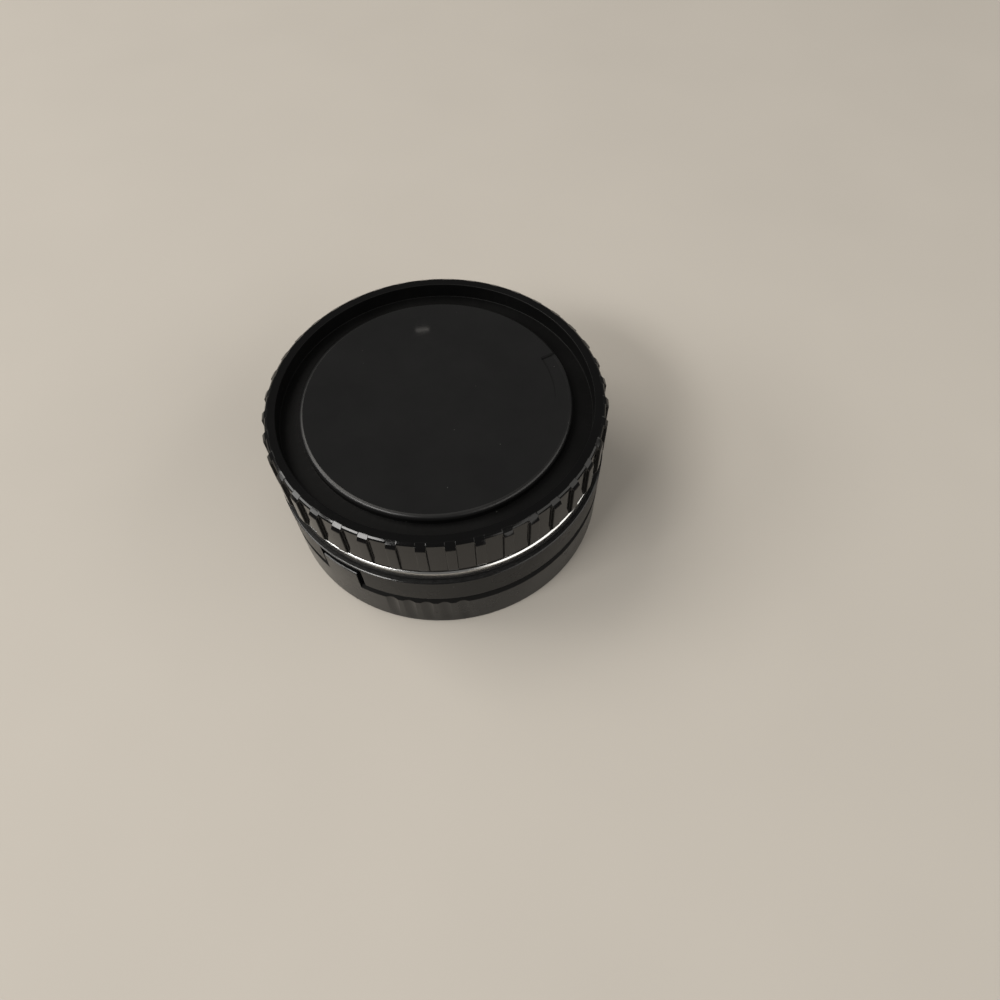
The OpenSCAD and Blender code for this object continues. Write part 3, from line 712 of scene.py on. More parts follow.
@dataclass
class RearCap:
    """The moulded rear cap with its ribbed grip.

    Attributes:
        ribs: Number of grip ribs.
        rib_angle: Angle of one rib.
        rib_w: Width of a rib.
        rib_rise: How far a rib stands out of the wall.
        rib_crown: Rounding along a rib's outer corners.
        rib_root: Rounding where a rib's side meets the wall.
        rib_draft: Slant of a rib's side, from its corner to its root.
        rib_turn: Angles of the steps in both roundings.
        hollow_steps: Shares of the ribs' pitch where the wall between ribs is set.
        facet: Width of the slope on the top of a rib.
        facet_bend: Share of the slope's width where it turns steeper.
        facet_tilts: Tilts of the slope's two parts.
        facet_ease: Rounding of the slope's corners.
        hollow_facet: Width of the slope on the top of the wall between ribs.
        hollow_ease: Rounding of that slope's corners.
        ease_shares: Shares of the rounding at the wall, at the bend and at the rim.
        lip_inset: How far the cap's edge lies inside the wall.
        lip: Height of the strip along the cap's edge whose dull finish is painted shade.
        lip_rounds: Roundings of the cap's edge and of the wall's start over it.
        foot: Heights over the cap's edge where a rib's sloped foot starts and ends.
        foot_round: Rounding where the foot meets the rib.
        rim_w: Width of the flat on the rim.
        rim_round: Rounding of the rim's inner corner.
        trough_w: Width of the trough.
        trough: Depth of the trough.
        trough_rounds: Roundings of the trough's outer and inner corner.
        disc_drop: Drop from the rim to the disc.
        disc_round: Rounding of the disc's edge.
        disc_rings: Radii of rows of points on the disc.
        hold: Width of the strips beside roundings that keep the flats flat.
        wall: Thickness of the walls.
        roof_rounds: Roundings inside, from the roof's edge out to the skirt.
        inside_steps: Segments in each rounding inside.
        outside_steps: Segments in each rounding outside.
        lugs: Number of lugs inside.
        lug_angle: Middle of the first lug.
        lug_sweep: Sweep of a lug.
        lug_end: Half of the angle over which a lug ends.
        lug_r: Inner radius of the lugs.
        lug: Lower and upper height of the lugs over the cap's edge.
        notch: Start and end angle of the turning mark in the disc.
        notch_ends: Angles over which the mark starts and ends.
        notch_r: Inner radius of the mark.
        notch_depth: Depths of the mark where it starts and at its step.
        notch_wall: Width of the mark's steep inner wall.
        dull_reach: How far the dull finish runs past the trough's inner and outer wall.
        dull_drop: How far it starts under the trough's floor and ends under the rim.
        side_depth: Depth under the wall up to which a face counts as outside.
        side_shares: Shares of a rib's rise that count as its side, whose dull finish is painted
            shade.
    """

    ribs: int = 40
    rib_angle: float = -91.5
    rib_w: float = 1.75
    rib_rise: float = 0.6
    rib_crown: float = 0.13
    rib_root: float = 0.12
    rib_draft: float = 0.03
    rib_turn: tuple[float, ...] = (30, 60, 90)
    hollow_steps: tuple[float, ...] = (0.3, 0.36, 0.43, 0.5)
    facet: float = 1.2
    facet_bend: float = 0.6
    facet_tilts: tuple[float, float] = (33.0, 49.0)
    facet_ease: float = 0.2
    hollow_facet: float = 0.5
    hollow_ease: float = 0.08
    ease_shares: tuple[float, float, float] = (2.0, 1.0, 0.6)
    lip_inset: float = 0.08
    lip: float = 0.75
    lip_rounds: tuple[float, float] = (0.29, 0.05)
    foot: tuple[float, float] = (0.35, 1.9)
    foot_round: float = 0.5
    rim_w: float = 1.4
    rim_round: float = 0.15
    trough_w: float = 3.75
    trough: float = 3.05
    trough_rounds: tuple[float, float] = (0.12, 0.04)
    disc_drop: float = 1.15
    disc_round: float = 0.8
    disc_rings: tuple[float, float] = (16.0, 8.0)
    hold: float = 0.06
    wall: float = 1.6
    roof_rounds: tuple[float, float, float] = (0.6, 0.3, 0.5)
    inside_steps: int = 2
    outside_steps: int = 5
    lugs: int = 3
    lug_angle: float = 30.0
    lug_sweep: float = 50.0
    lug_end: float = 0.02
    lug_r: float = 23.95
    lug: tuple[float, float] = (0.05, 1.35)
    notch: tuple[float, float] = (-8.0, 19.0)
    notch_ends: tuple[float, float] = (0.05, 0.1)
    notch_r: float = 21.5
    notch_depth: tuple[float, float] = (0.03, 0.45)
    notch_wall: float = 0.03
    dull_reach: tuple[float, float] = (0.05, 0.16)
    dull_drop: tuple[float, float] = (0.1, 0.005)
    side_depth: float = 0.5
    side_shares: tuple[float, float] = (0.03, 0.75)
    radius: float = field(init=False)
    bottom: float = field(init=False)
    top: float = field(init=False)

    def __post_init__(self) -> None:
        """Reads the cap's place from the imported node."""
        low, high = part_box("rear_cap")
        self.radius = high.x / MM
        self.bottom, self.top = low.z / MM, high.z / MM

    def disc_r(self) -> float:
        """Radius of the raised disc."""
        return self.radius - self.facet - self.rim_w - self.trough_w

    def rib_edge(self) -> list[tuple[float, float]]:
        """Follows the outline of half a rib.

        Returns:
            Distances from the rib's middle, with the share of the rib's rise there.
        """
        corner, crown, root = self.rib_w / 2, self.rib_crown, self.rib_root
        foot = corner + self.rib_draft
        path = [(0.0, 1.0), (corner - crown, 1.0)]
        for a in np.radians(self.rib_turn):
            drop = crown / self.rib_rise * (1 - math.cos(a))
            path.append((corner - crown + crown * math.sin(a), 1 - drop))
        for a in np.radians((0, *self.rib_turn)):
            rise = root / self.rib_rise * (1 - math.sin(a))
            path.append((foot + root * (1 - math.cos(a)), rise))
        return path

    def lug_edges(self) -> list[float]:
        """Angles of the lugs' two ends."""
        middles = [self.lug_angle + 360 / self.lugs * k for k in range(self.lugs)]
        return [middle + side * self.lug_sweep / 2 for middle in middles for side in (-1, 1)]

    def angles(self) -> np.ndarray:
        """Collects the angles at which the cap's section is set.

        Returns:
            Angles that catch every edge of the ribs, of the lugs and of the mark.
        """
        pitch = 360 / self.ribs
        offsets = [math.degrees(t / self.radius) for t, _ in self.rib_edge()]
        offsets += [pitch * share for share in self.hollow_steps]
        middles = [self.rib_angle + pitch * k for k in range(self.ribs)]
        around = [middle + side * o for middle in middles for side in (-1, 1) for o in offsets]
        lugs = [edge + side * self.lug_end for edge in self.lug_edges() for side in (-1, 1)]
        start, end = self.notch
        first, last = self.notch_ends
        return spread(around, lugs, [start, start + first, end - last, end + last])

    def share(self, angle: float) -> float:
        """Tells how far a rib has risen at an angle.

        Args:
            angle: The angle.

        Returns:
            Share of the rib's rise, 0 between ribs and 1 on a rib.
        """
        pitch = 360 / self.ribs
        off = abs((angle - self.rib_angle + pitch / 2) % pitch - pitch / 2)
        path = self.rib_edge()
        distance = math.radians(off) * self.radius
        return float(np.interp(distance, [t for t, _ in path], [s for _, s in path]))

    def on_lug(self, angle: float) -> bool:
        """Tells whether an angle lies on a lug.

        Args:
            angle: The angle.

        Returns:
            Whether it does.
        """
        pitch = 360 / self.lugs
        off = abs((angle - self.lug_angle + pitch / 2) % pitch - pitch / 2)
        return off < self.lug_sweep / 2

    def slope(self, r: float, width: float, ease: float) -> list[Corner]:
        """Makes the corners of a slope in two parts, from a wall up to the rim.

        Args:
            r: Radius of the wall.
            width: Width of the slope.
            ease: Rounding of its corners.

        Returns:
            The three corners, rising.
        """
        upper, lower = (math.tan(math.radians(tilt)) for tilt in self.facet_tilts)
        bend = self.facet_bend * width
        bend_z = self.top - bend * upper
        at_wall, at_bend, at_rim = (ease * share for share in self.ease_shares)
        return [
            (r, bend_z - (width - bend) * lower, at_wall),
            (r - width + bend, bend_z, at_bend),
            (r - width, self.top, at_rim),
        ]

    def inside(self) -> np.ndarray:
        """Makes the section of the cap's inside at a lug, from the axis to the edge.

        Returns:
            Rows of radius and height.
        """
        z0, core = self.bottom, self.radius - self.rib_rise
        roof = self.top - self.disc_drop - self.wall
        shelf = self.top - self.trough - self.wall
        dome, skirt = self.disc_r() - self.wall, core - self.wall
        low, high = z0 + self.lug[0], z0 + self.lug[1]
        lip, foot_z = core - self.lip_inset, z0 + self.foot[0]
        roof_round, dome_round, skirt_round = self.roof_rounds
        corners = [
            (0, roof, 0),
            (dome, roof, roof_round),
            (dome, shelf, dome_round),
            (skirt, shelf, skirt_round),
            (skirt, high, 0),
            (self.lug_r, high, 0),
            (self.lug_r, low, 0),
            (skirt, low, 0),
            (skirt, z0, 0),
            (lip, z0, self.lip_rounds[0]),
            (lip, foot_z, 0),
        ]
        return rounded(corners, False, self.inside_steps)

    def walls(self) -> tuple[np.ndarray, np.ndarray]:
        """Makes the sections of the outer wall, from the edge up to the rim.

        Returns:
            The wall between ribs and the wall at a rib, at the same heights.
        """
        r, z0, z1 = self.radius, self.bottom, self.top
        core, rim = r - self.rib_rise, r - self.facet - self.rim_w
        foot_z, foot_top = z0 + self.foot[0], z0 + self.foot[1]
        edge = (core - self.lip_inset, foot_z, 0)
        hollow = [
            edge,
            (core, foot_z + self.lip_inset, self.lip_rounds[1]),
            # This corner bounds the strip of painted shade along the cap's edge.
            (core, z0 + self.lip, 0),
            *self.slope(core, self.hollow_facet, self.hollow_ease),
            (rim, z1, 0),
        ]
        rib = [
            edge,
            (r, foot_top, self.foot_round),
            *self.slope(r, self.facet, self.facet_ease),
            (rim, z1, 0),
        ]
        sides = [rounded(corners, False, self.outside_steps)[:-1] for corners in (hollow, rib)]
        return levelled(*sides)

    def upper(self) -> np.ndarray:
        """Makes the section of the cap's top, from the rim to the axis.

        Returns:
            Rows of radius and height.
        """
        z1, flat, disc = self.top, self.radius - self.facet, self.disc_r()
        rim, hold = flat - self.rim_w, self.hold
        disc_z, trough_z = z1 - self.disc_drop, z1 - self.trough
        corners = [
            (flat - hold, z1, 0),
            (rim + self.rim_round + hold, z1, 0),
            (rim, z1, self.rim_round),
            (rim, trough_z, self.trough_rounds[0]),
            (disc, trough_z, self.trough_rounds[1]),
            (disc, disc_z, self.disc_round),
            (disc - self.disc_round - hold, disc_z, 0),
            (self.notch_r + self.notch_wall, disc_z, 0),
            (self.notch_r, disc_z, 0),
            *[(ring, disc_z, 0) for ring in self.disc_rings],
            (0, disc_z, 0),
        ]
        return rounded(corners, False, self.outside_steps)

    def build(self) -> bpy.types.Object:
        """Builds the cap's mesh.

        Returns:
            The new piece.
        """
        with_lug, (hollow, rib), top = self.inside(), self.walls(), self.upper()
        disc_z, skirt = self.top - self.disc_drop, self.radius - self.rib_rise - self.wall
        plain = with_lug.copy()
        at_lug = plain[:, 1] < self.bottom + self.lug[1] + HEIGHT_GAP
        plain[at_lug, 0] = np.maximum(plain[at_lug, 0], skirt)
        start, end = self.notch

        def section(angle: float) -> np.ndarray:
            """Makes the cap's section at an angle.

            Args:
                angle: The angle.

            Returns:
                Rows of radius and height.
            """
            share = self.share(angle)
            above = top.copy()
            if start < angle < end:
                depth = float(np.interp(angle, self.notch, self.notch_depth))
                outer = above[:, 0] > self.notch_r + self.notch_wall / 2
                cut = outer & (above[:, 1] < disc_z + HEIGHT_GAP)
                above[cut, 1] = np.minimum(above[cut, 1], disc_z - depth)
            below = with_lug if self.on_lug(angle) else plain
            return np.concatenate([below[:-1], hollow * (1 - share) + rib * share, above])

        return turned("rear_cap_ribbed", self.angles(), section, False)

    def on_disc(self, centre: Vector) -> bool:
        """Tells whether a face's centre lies on the disc's flat top."""
        above_roof = centre.z > self.top - self.disc_drop - self.wall / 2
        return above_roof and centre.xy.length < self.disc_r() - self.disc_round

    def on_edge(self, centre: Vector) -> bool:
        """Tells whether a face's centre lies on the disc's rounded edge."""
        disc, low = self.disc_r(), self.top - self.disc_drop - self.disc_round
        return disc - self.disc_round <= centre.xy.length <= disc and centre.z > low

    def is_dull_or_painted_shade(self, centre: Vector) -> bool:
        """Tells whether a face takes the dull finish.

        Args:
            centre: The face's centre, in millimetres.

        Returns:
            Whether it lies in the trough, on a rib's side or on the cap's lower edge; on the
            ribs' sides and the lower edge the dull finish is painted shade.
        """
        r, z, core = centre.xy.length, centre.z, self.radius - self.rib_rise
        rim = self.radius - self.facet - self.rim_w
        below, under = self.dull_drop
        in_width = self.disc_r() - self.dull_reach[0] < r < rim + self.dull_reach[1]
        if in_width and self.top - self.trough - below < z < self.top - under:
            return True
        if r < core - self.side_depth or z > self.top - self.facet:
            return False
        # On the ribs' sides and the cap's lower edge the dull finish is painted shade.
        low, high = self.side_shares
        share = self.share(math.degrees(math.atan2(centre.y, centre.x)))
        return z < self.bottom + self.lip or low < share < high

    def dress(self) -> bpy.types.Object:
        """Builds the cap and gives it its finishes.

        Returns:
            The new piece.
        """
        piece = self.build()
        stand_for(piece, "rear_cap", "cap", Finishes.CAP)
        # The dull finish on the ribs' sides and the cap's lower edge is painted shade.
        Finishes.TROUGH.paint_where(piece, self.is_dull_or_painted_shade)
        Finishes.EDGE.paint_where(piece, self.on_edge)
        Finishes.DISC.paint_where(piece, self.on_disc)
        return piece


@dataclass
class RearShell:
    """The outer shell with the window for the release tab.

    Attributes:
        wall: Thickness of the shell.
        steps: Even steps round the shell.
        foot_rounds: Roundings of the lower inner and outer corner.
        flange_t: Thickness of its inward flange.
        flange_r: Inner radius of that flange.
        flange_round: Rounding of the flange's corners.
        top_slope: Width and height of the slope along the shell's top edge.
        top_round: Rounding of that slope's corners.
        window: Start and sweep of the window.
        window_end: Half of the angle over which the window ends.
        window_top: Height of the strip over the window.
        strip_t: Thickness by which that strip stands in front of the bore.
        ledge: Depth under the top up to which a face counts as the top.
    """

    wall: float = 1.7
    steps: int = 240
    foot_rounds: tuple[float, float] = (0.1, 0.22)
    flange_t: float = 1.2
    flange_r: float = 25.6
    flange_round: float = 0.05
    top_slope: tuple[float, float] = (0.2, 0.13)
    top_round: float = 0.03
    window: tuple[float, float] = (-139.66, 16.82)
    window_end: float = 0.03
    window_top: float = 0.4
    strip_t: float = 0.2
    ledge: float = 0.02
    radius: float = field(init=False)
    bottom: float = field(init=False)
    top: float = field(init=False)

    def __post_init__(self) -> None:
        """Reads the shell's place from the imported node."""
        low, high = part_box("rear_shell")
        self.radius = high.x / MM
        self.bottom, self.top = low.z / MM, high.z / MM

    def build(self) -> bpy.types.Object:
        """Builds the shell's mesh.

        Returns:
            The new piece.
        """
        r, bore, ledge = self.radius, self.radius - self.wall, self.top - self.flange_t
        slope_w, slope_h = self.top_slope
        corners = [
            (bore, self.bottom, self.foot_rounds[0]),
            (r, self.bottom, self.foot_rounds[1]),
            (r, self.top - slope_h, self.top_round),
            (r - slope_w, self.top, self.top_round),
            (self.flange_r, self.top, self.flange_round),
            (self.flange_r, ledge, self.flange_round),
            (bore, ledge, self.flange_round),
        ]
        ring = rounded(corners, True)
        start, end = self.window[0], sum(self.window)
        sides = [edge + side * self.window_end for edge in (start, end) for side in (-1, 1)]

        def section(angle: float) -> np.ndarray:
            """Makes the shell's section at an angle.

            Args:
                angle: The angle.

            Returns:
                Rows of radius and height.
            """
            row = ring.copy()
            if start < angle < end:
                strip = row[:, 0] > bore + self.strip_t
                under = np.where(strip, self.top - self.window_top, ledge)
                row[:, 1] = np.maximum(row[:, 1], under)
            return row

        return turned("rear_shell_turned", spread(sides, base=self.steps), section, True)

    def on_ledge(self, centre: Vector) -> bool:
        """Tells whether a face's centre lies on the shell's top."""
        return centre.z > self.top - self.ledge

    def on_slope(self, centre: Vector) -> bool:
        """Tells whether a face's centre lies on the slope along the shell's top edge."""
        return on_top_slope(centre, self.radius, self.top, self.top_slope)

    def dress(self) -> bpy.types.Object:
        """Builds the shell and gives it its finishes.

        Returns:
            The new piece.
        """
        piece = self.build()
        stand_for(piece, "rear_shell", "housing", Finishes.SHELL)
        Finishes.STIPPLE.paint_where(piece, self.on_ledge)
        # The lighter, glossier strip along the shell's top edge is a painted highlight.
        Finishes.WORN.paint_where(piece, self.on_slope)
        return piece


@dataclass
class ReleaseRing:
    """The lens release ring with its tab and finger flutes.

    Attributes:
        height: Height of the ring without its tab.
        wall: Thickness of the ring.
        steps: Even steps round the ring.
        foot_rounds: Roundings of the lower inner and outer corner.
        rise: Gaps under and over the rows of points on the outside.
        rise_rows: Number of these rows.
        upper_h: Height of the upper part of the section, which differs at the tab.
        upper_rows: Rows of points in that part.
        back_h: How far that part reaches lower inside.
        top_slope: Width and height of the slope along the ring's top edge.
        top_rounds: Roundings at the slope's lower corner and along the top.
        tab_angle: Middle of the tab.
        tab_w: Width of the tab.
        tab_edges: Angles past the tab's side where the section is set.
        tab_slope: Width and height of the slope along the top of the tab.
        tab_rounds: Roundings of that slope's corners and of the tab's inside.
        tab_inset: Space inside the tab.
        grips: Number of finger grips.
        grip_angle: Middle of the first grip.
        flutes: Flutes in each grip.
        flute_pitch: Angle from flute to flute.
        flute_r: Radius of a flute's hollow.
        flute_depth: Depth of a flute at the ring's top.
        flute_end: Height where the flutes run out.
        flute_fade: Power by which their depth grows with height.
        flute_ease: Softening of the flutes' edges.
        flute_steps: Shares of half a flute's width where the section is set.
        rib: Lower and upper height of the running rib.
        rib_reach: How far the rib stands in from the bore.
        groove: How far the painted shade in the groove reaches up, and how far in it starts.
    """

    height: float = 8.65
    wall: float = 1.7
    steps: int = 180
    foot_rounds: tuple[float, float] = (0.15, 0.3)
    rise: tuple[float, float] = (0.6, 0.5)
    rise_rows: int = 8
    upper_h: float = 1.2
    upper_rows: int = 60
    back_h: float = 0.4
    top_slope: tuple[float, float] = (0.6, 0.7)
    top_rounds: tuple[float, float] = (0.2, 0.12)
    tab_angle: float = -132.2
    tab_w: float = 7.4
    tab_edges: tuple[float, ...] = (0.0, 0.06, 0.3)
    tab_slope: tuple[float, float] = (0.24, 0.16)
    tab_rounds: tuple[float, float] = (0.03, 0.1)
    tab_inset: float = 0.32
    grips: int = 3
    grip_angle: float = -102.0
    flutes: int = 5
    flute_pitch: float = 6.0
    flute_r: float = 2.0
    flute_depth: float = 0.34
    flute_end: float = 0.9
    flute_fade: float = 0.7
    flute_ease: float = 0.04
    flute_steps: tuple[float, ...] = (0, 0.2, 0.4, 0.65, 0.85, 0.97, 1.03, 1.12)
    rib: tuple[float, float] = (2.35, 3.55)
    rib_reach: float = 1.05
    groove: tuple[float, float] = (0.05, 0.04)
    radius: float = field(init=False)
    tab_top: float = field(init=False)

    def __post_init__(self) -> None:
        """Reads the ring's place from the imported node."""
        _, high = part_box("release_ring")
        self.radius, self.tab_top = high.x / MM, high.z / MM

    def flute_angles(self) -> list[float]:
        """Middles of all the flutes."""
        first = -(self.flutes - 1) / 2
        return [self.grip_angle + 360 / self.grips * g + (first + i) * self.flute_pitch
                for g in range(self.grips) for i in range(self.flutes)]

    def half_tab(self) -> float:
        """Half of the tab's width, as an angle."""
        return math.degrees(self.tab_w / 2 / self.radius)

    def angles(self) -> np.ndarray:
        """Collects the angles at which the ring's section is set.

        Returns:
            Angles that catch the flutes and the sides of the tab.
        """
        half = math.sqrt(self.flute_r ** 2 - (self.flute_r - self.flute_depth) ** 2)
        offsets = [math.degrees(half * share / self.radius) for share in self.flute_steps]
        flutes = [middle + side * o for middle in self.flute_angles()
                  for side in (-1, 1) for o in offsets]
        tab = [self.tab_angle + side * (self.half_tab() + o)
               for side in (-1, 1) for o in self.tab_edges]
        return spread(flutes, tab, base=self.steps)

    def cut(self, angle: float) -> float:
        """Tells how deep the flutes are at an angle, with their edges eased.

        Args:
            angle: The angle.

        Returns:
            The depth at the ring's top.
        """
        off = min(abs((angle - a + 180) % 360 - 180) for a in self.flute_angles())
        t = math.radians(off) * self.radius
        if t >= self.flute_r:
            return 0.0
        gap = self.flute_depth - self.flute_r + math.sqrt(self.flute_r ** 2 - t ** 2)
        return (gap + math.sqrt(gap * gap + self.flute_ease * self.flute_ease)) / 2

    def lower(self) -> np.ndarray:
        """Makes the lower part of the section, from the rib's underside to the outside.

        Returns:
            Rows of radius and height.
        """
        r, bore, start = self.radius, self.radius - self.wall, self.height - self.upper_h
        inner, outer = self.foot_rounds
        corners = [(bore, self.rib[0], 0), (bore, 0, inner), (r, 0, outer), (r, start, 0)]
        rows = rounded(corners, False)
        low, high = self.rise
        rise = [(r, z) for z in np.linspace(low, start - high, self.rise_rows)]
        return np.concatenate([rows[:-1], rise, rows[-1:]])

    def uppers(self) -> tuple[np.ndarray, np.ndarray]:
        """Makes the upper part of the section, from the outside to the bore.

        Returns:
            The part without the tab and the part with it, with as many rows.
        """
        r, bore, start = self.radius, self.radius - self.wall, self.height - self.upper_h
        first, last = (r, start, 0), (bore, start - self.back_h, 0)
        slope_w, slope_h = self.top_slope
        low, high = self.top_rounds
        plain = [
            first,
            (r, self.height - slope_h, low),
            (r - slope_w, self.height, high),
            (bore, self.height, high),
            last,
        ]
        tab_w, tab_h = self.tab_slope
        crest, inside = self.tab_rounds
        tab_in = bore + self.tab_inset
        raised = [
            first,
            (r, self.tab_top - tab_h, crest),
            (r - tab_w, self.tab_top, crest),
            (tab_in, self.tab_top, inside),
            (tab_in, self.height, 0),
            (bore, self.height, inside),
            last,
        ]
        both = [filled(rounded(corners, False), self.upper_rows) for corners in (plain, raised)]
        return both[0], both[1]

    def build(self) -> bpy.types.Object:
        """Builds the ring's mesh.

        Returns:
            The new piece.
        """
        lower, (plain, raised) = self.lower(), self.uppers()
        bore = self.radius - self.wall
        inner, (rib_low, rib_high) = bore - self.rib_reach, self.rib
        back = np.array([(bore, rib_high), (inner, rib_high), (inner, rib_low)])
        half = self.half_tab()

        def section(angle: float) -> np.ndarray:
            """Makes the ring's section at an angle.

            Args:
                angle: The angle.

            Returns:
                Rows of radius and height.
            """
            upper = raised if abs(angle - self.tab_angle) <= half + ANGLE_GAP else plain
            whole = np.concatenate([lower, upper[1:], back])
            cut = self.cut(angle)
            if cut > 0:
                run = (whole[:, 1] - self.flute_end) / (self.height - self.flute_end)
                fade = np.clip(run, 0, 1) ** self.flute_fade
                whole[:, 0] = np.minimum(whole[:, 0], self.radius - cut * fade)
            return whole

        return turned("release_ring_turned", self.angles(), section, True)

    def in_shaded_groove(self, centre: Vector) -> bool:
        """Tells whether a face's centre lies on the ring's top, in the groove, where painted
        shade goes.
        """
        low, high = self.height - self.top_slope[1], self.height + self.groove[0]
        return low < centre.z < high and centre.xy.length < self.radius - self.groove[1]

    def on_tab_edge(self, centre: Vector) -> bool:
        """Tells whether a face's centre lies on the slope along the top of the tab."""
        return on_top_slope(centre, self.radius, self.tab_top, self.tab_slope)

    def dress(self) -> bpy.types.Object:
        """Builds the ring and gives it its finishes.

        Returns:
            The new piece.
        """
        piece = self.build()
        stand_for(piece, "release_ring", "release_ring", Finishes.RING)
        # The ring's top in the groove is painted black as shade under the shell's edge.
        Finishes.GROOVE.paint_where(piece, self.in_shaded_groove)
        # The lighter, glossier strip along the tab's top edge is a painted highlight.
        Finishes.WORN.paint_where(piece, self.on_tab_edge)
        return piece


@dataclass
class NeckRing:
    """The stippled ring between shell and flange.

    Attributes:
        inner: Inner radius.
        rounds: Roundings of the outer corners, below and above.
        steps: Even steps round the ring.
    """

    inner: float = 25.6
    rounds: tuple[float, float] = (0.05, 0.12)
    steps: int = 240

    def dress(self) -> bpy.types.Object:
        """Builds the neck and gives it its finish.

        Returns:
            The new piece.
        """
        low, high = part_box("neck_ring")
        r, z0, z1 = high.x / MM, low.z / MM, high.z / MM
        below, above = self.rounds
        ring = rounded([(self.inner, z0, 0), (r, z0, below), (r, z1, above),
                        (self.inner, z1, 0)], True)
        piece = turned("neck_ring_turned", spread(base=self.steps), lambda _: ring, True)
        stand_for(piece, "neck_ring", "housing", Finishes.STIPPLE)
        return piece


@dataclass
class RearFlange:
    """The chromed rear flange with its sloped outer edge.

    Attributes:
        thickness: Thickness of the flange.
        slope: Width and height of the slope along its upper outer edge.
        crest: Rounding where the slope meets the face.
        crest_steps: Segments in that rounding.
        near: Distance within which a point counts as on an edge.
        sharp: Angle over which an edge of the flange is shaded sharp.
    """

    thickness: float = 1.75
    slope: tuple[float, float] = (0.26, 0.24)
    crest: float = 0.1
    crest_steps: int = 4
    near: float = 0.02
    sharp: float = 25.0

    def circle(self, work: bmesh.types.BMesh, r: float, z: float) -> list[bmesh.types.BMEdge]:
        """Finds the edges on a circle about the axis.

        Args:
            work: The mesh.
            r: Radius of the circle, in metres.
            z: Its height, in metres.

        Returns:
            The edges.
        """
        near = self.near * MM
        return [edge for edge in work.edges
                if all(abs(v.co.xy.length - r) < near and abs(v.co.z - z) < near
                       for v in edge.verts)]

    def bevel(self, work: bmesh.types.BMesh, edges: list[bmesh.types.BMEdge], width: float,
              steps: int) -> None:
        """Cuts a slope or a rounding along edges.

        Args:
            work: The mesh.
            edges: The edges.
            width: Width of the cut, in metres.
            steps: Segments in it.
        """
        bmesh.ops.bevel(work, geom=edges, offset=width, offset_type="OFFSET", segments=steps,
                        profile=0.5, affect="EDGES")

    def build(self) -> bpy.types.Object:
        """Builds the flange's mesh from the node's own solid.

        Returns:
            The new piece.
        """
        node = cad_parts["rear_bayonet"]
        low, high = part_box("rear_bayonet")
        face_z, radius, near = low.z + self.thickness * MM, high.x, self.near * MM
        width, drop = (v * MM for v in self.slope)
        mesh = node.data.copy()
        mesh.transform(node.matrix_world)
        work = bmesh.new()
        work.from_mesh(mesh)
        bmesh.ops.remove_doubles(work, verts=work.verts, dist=NODE_GAP)
        bmesh.ops.dissolve_limit(work, angle_limit=FLAT_ANGLE, verts=work.verts, edges=work.edges)
        self.bevel(work, self.circle(work, radius, face_z), width, 1)
        for v in work.verts:
            if abs(v.co.xy.length - radius) < near and abs(v.co.z - face_z + width) < near:
                v.co.z = face_z - drop
        crest = self.circle(work, radius - width, face_z)
        self.bevel(work, crest, self.crest * MM, self.crest_steps)
        put_in_order(work)
        work.to_mesh(mesh)
        work.free()
        mesh.shade_smooth()
        mesh.set_sharp_from_angle(angle=math.radians(self.sharp))
        piece = placed("rear_bayonet_sloped", mesh)
        even_normals(piece, FLANGE_LEAD)
        return piece

    def dress(self) -> bpy.types.Object:
        """Builds the flange and gives it its finish.

        Returns:
            The new piece.
        """
        piece = self.build()
        stand_for(piece, "rear_bayonet", "housing", Finishes.CHROME)
        return piece


@dataclass
class InnerParts:
    """The carried-over nodes, with their edges eased.

    Attributes:
        ease: Width of the eased edges.
        ease_steps: Segments in an eased edge.
        ease_angle: Angle over which an edge is eased.
        plain: Nodes that stay without eased edges.
    """

    ease: float = 0.05
    ease_steps: int = 3
    ease_angle: float = 35.0
    plain: tuple[str, ...] = (
        "front_bayonet", "release_spring", "lock_pin_spring", "aperture_spring",
        "front_element", "doublet_flint", "doublet_crown", "rear_element")

    def soften(self, node: bpy.types.Object) -> None:
        """Eases a node's edges with modifiers.

        Args:
            node: The node's object.
        """
        weld = node.modifiers.new("weld", "WELD")
        weld.merge_threshold = NODE_GAP
        flat = node.modifiers.new("flat", "DECIMATE")
        flat.decimate_type = "DISSOLVE"
        flat.angle_limit = FLAT_ANGLE
        edges = node.modifiers.new("edges", "BEVEL")
        edges.width = self.ease * MM
        edges.segments = self.ease_steps
        edges.limit_method = "ANGLE"
        edges.angle_limit = math.radians(self.ease_angle)
        edges.use_clamp_overlap = True
        even_normals(node, NODE_LEAD)

    def dress(self) -> None:
        """Finishes every carried-over node and reports it."""
        for name, finish in NODE_FINISHES.items():
            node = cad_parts[name]
            node.data.shade_smooth()
            node.data.set_sharp_from_angle(angle=SHARP_ANGLE)
            finish.paint(node)
            if name not in self.plain:
                self.soften(node)
            LOG.info("%s finished", name)


# Stage


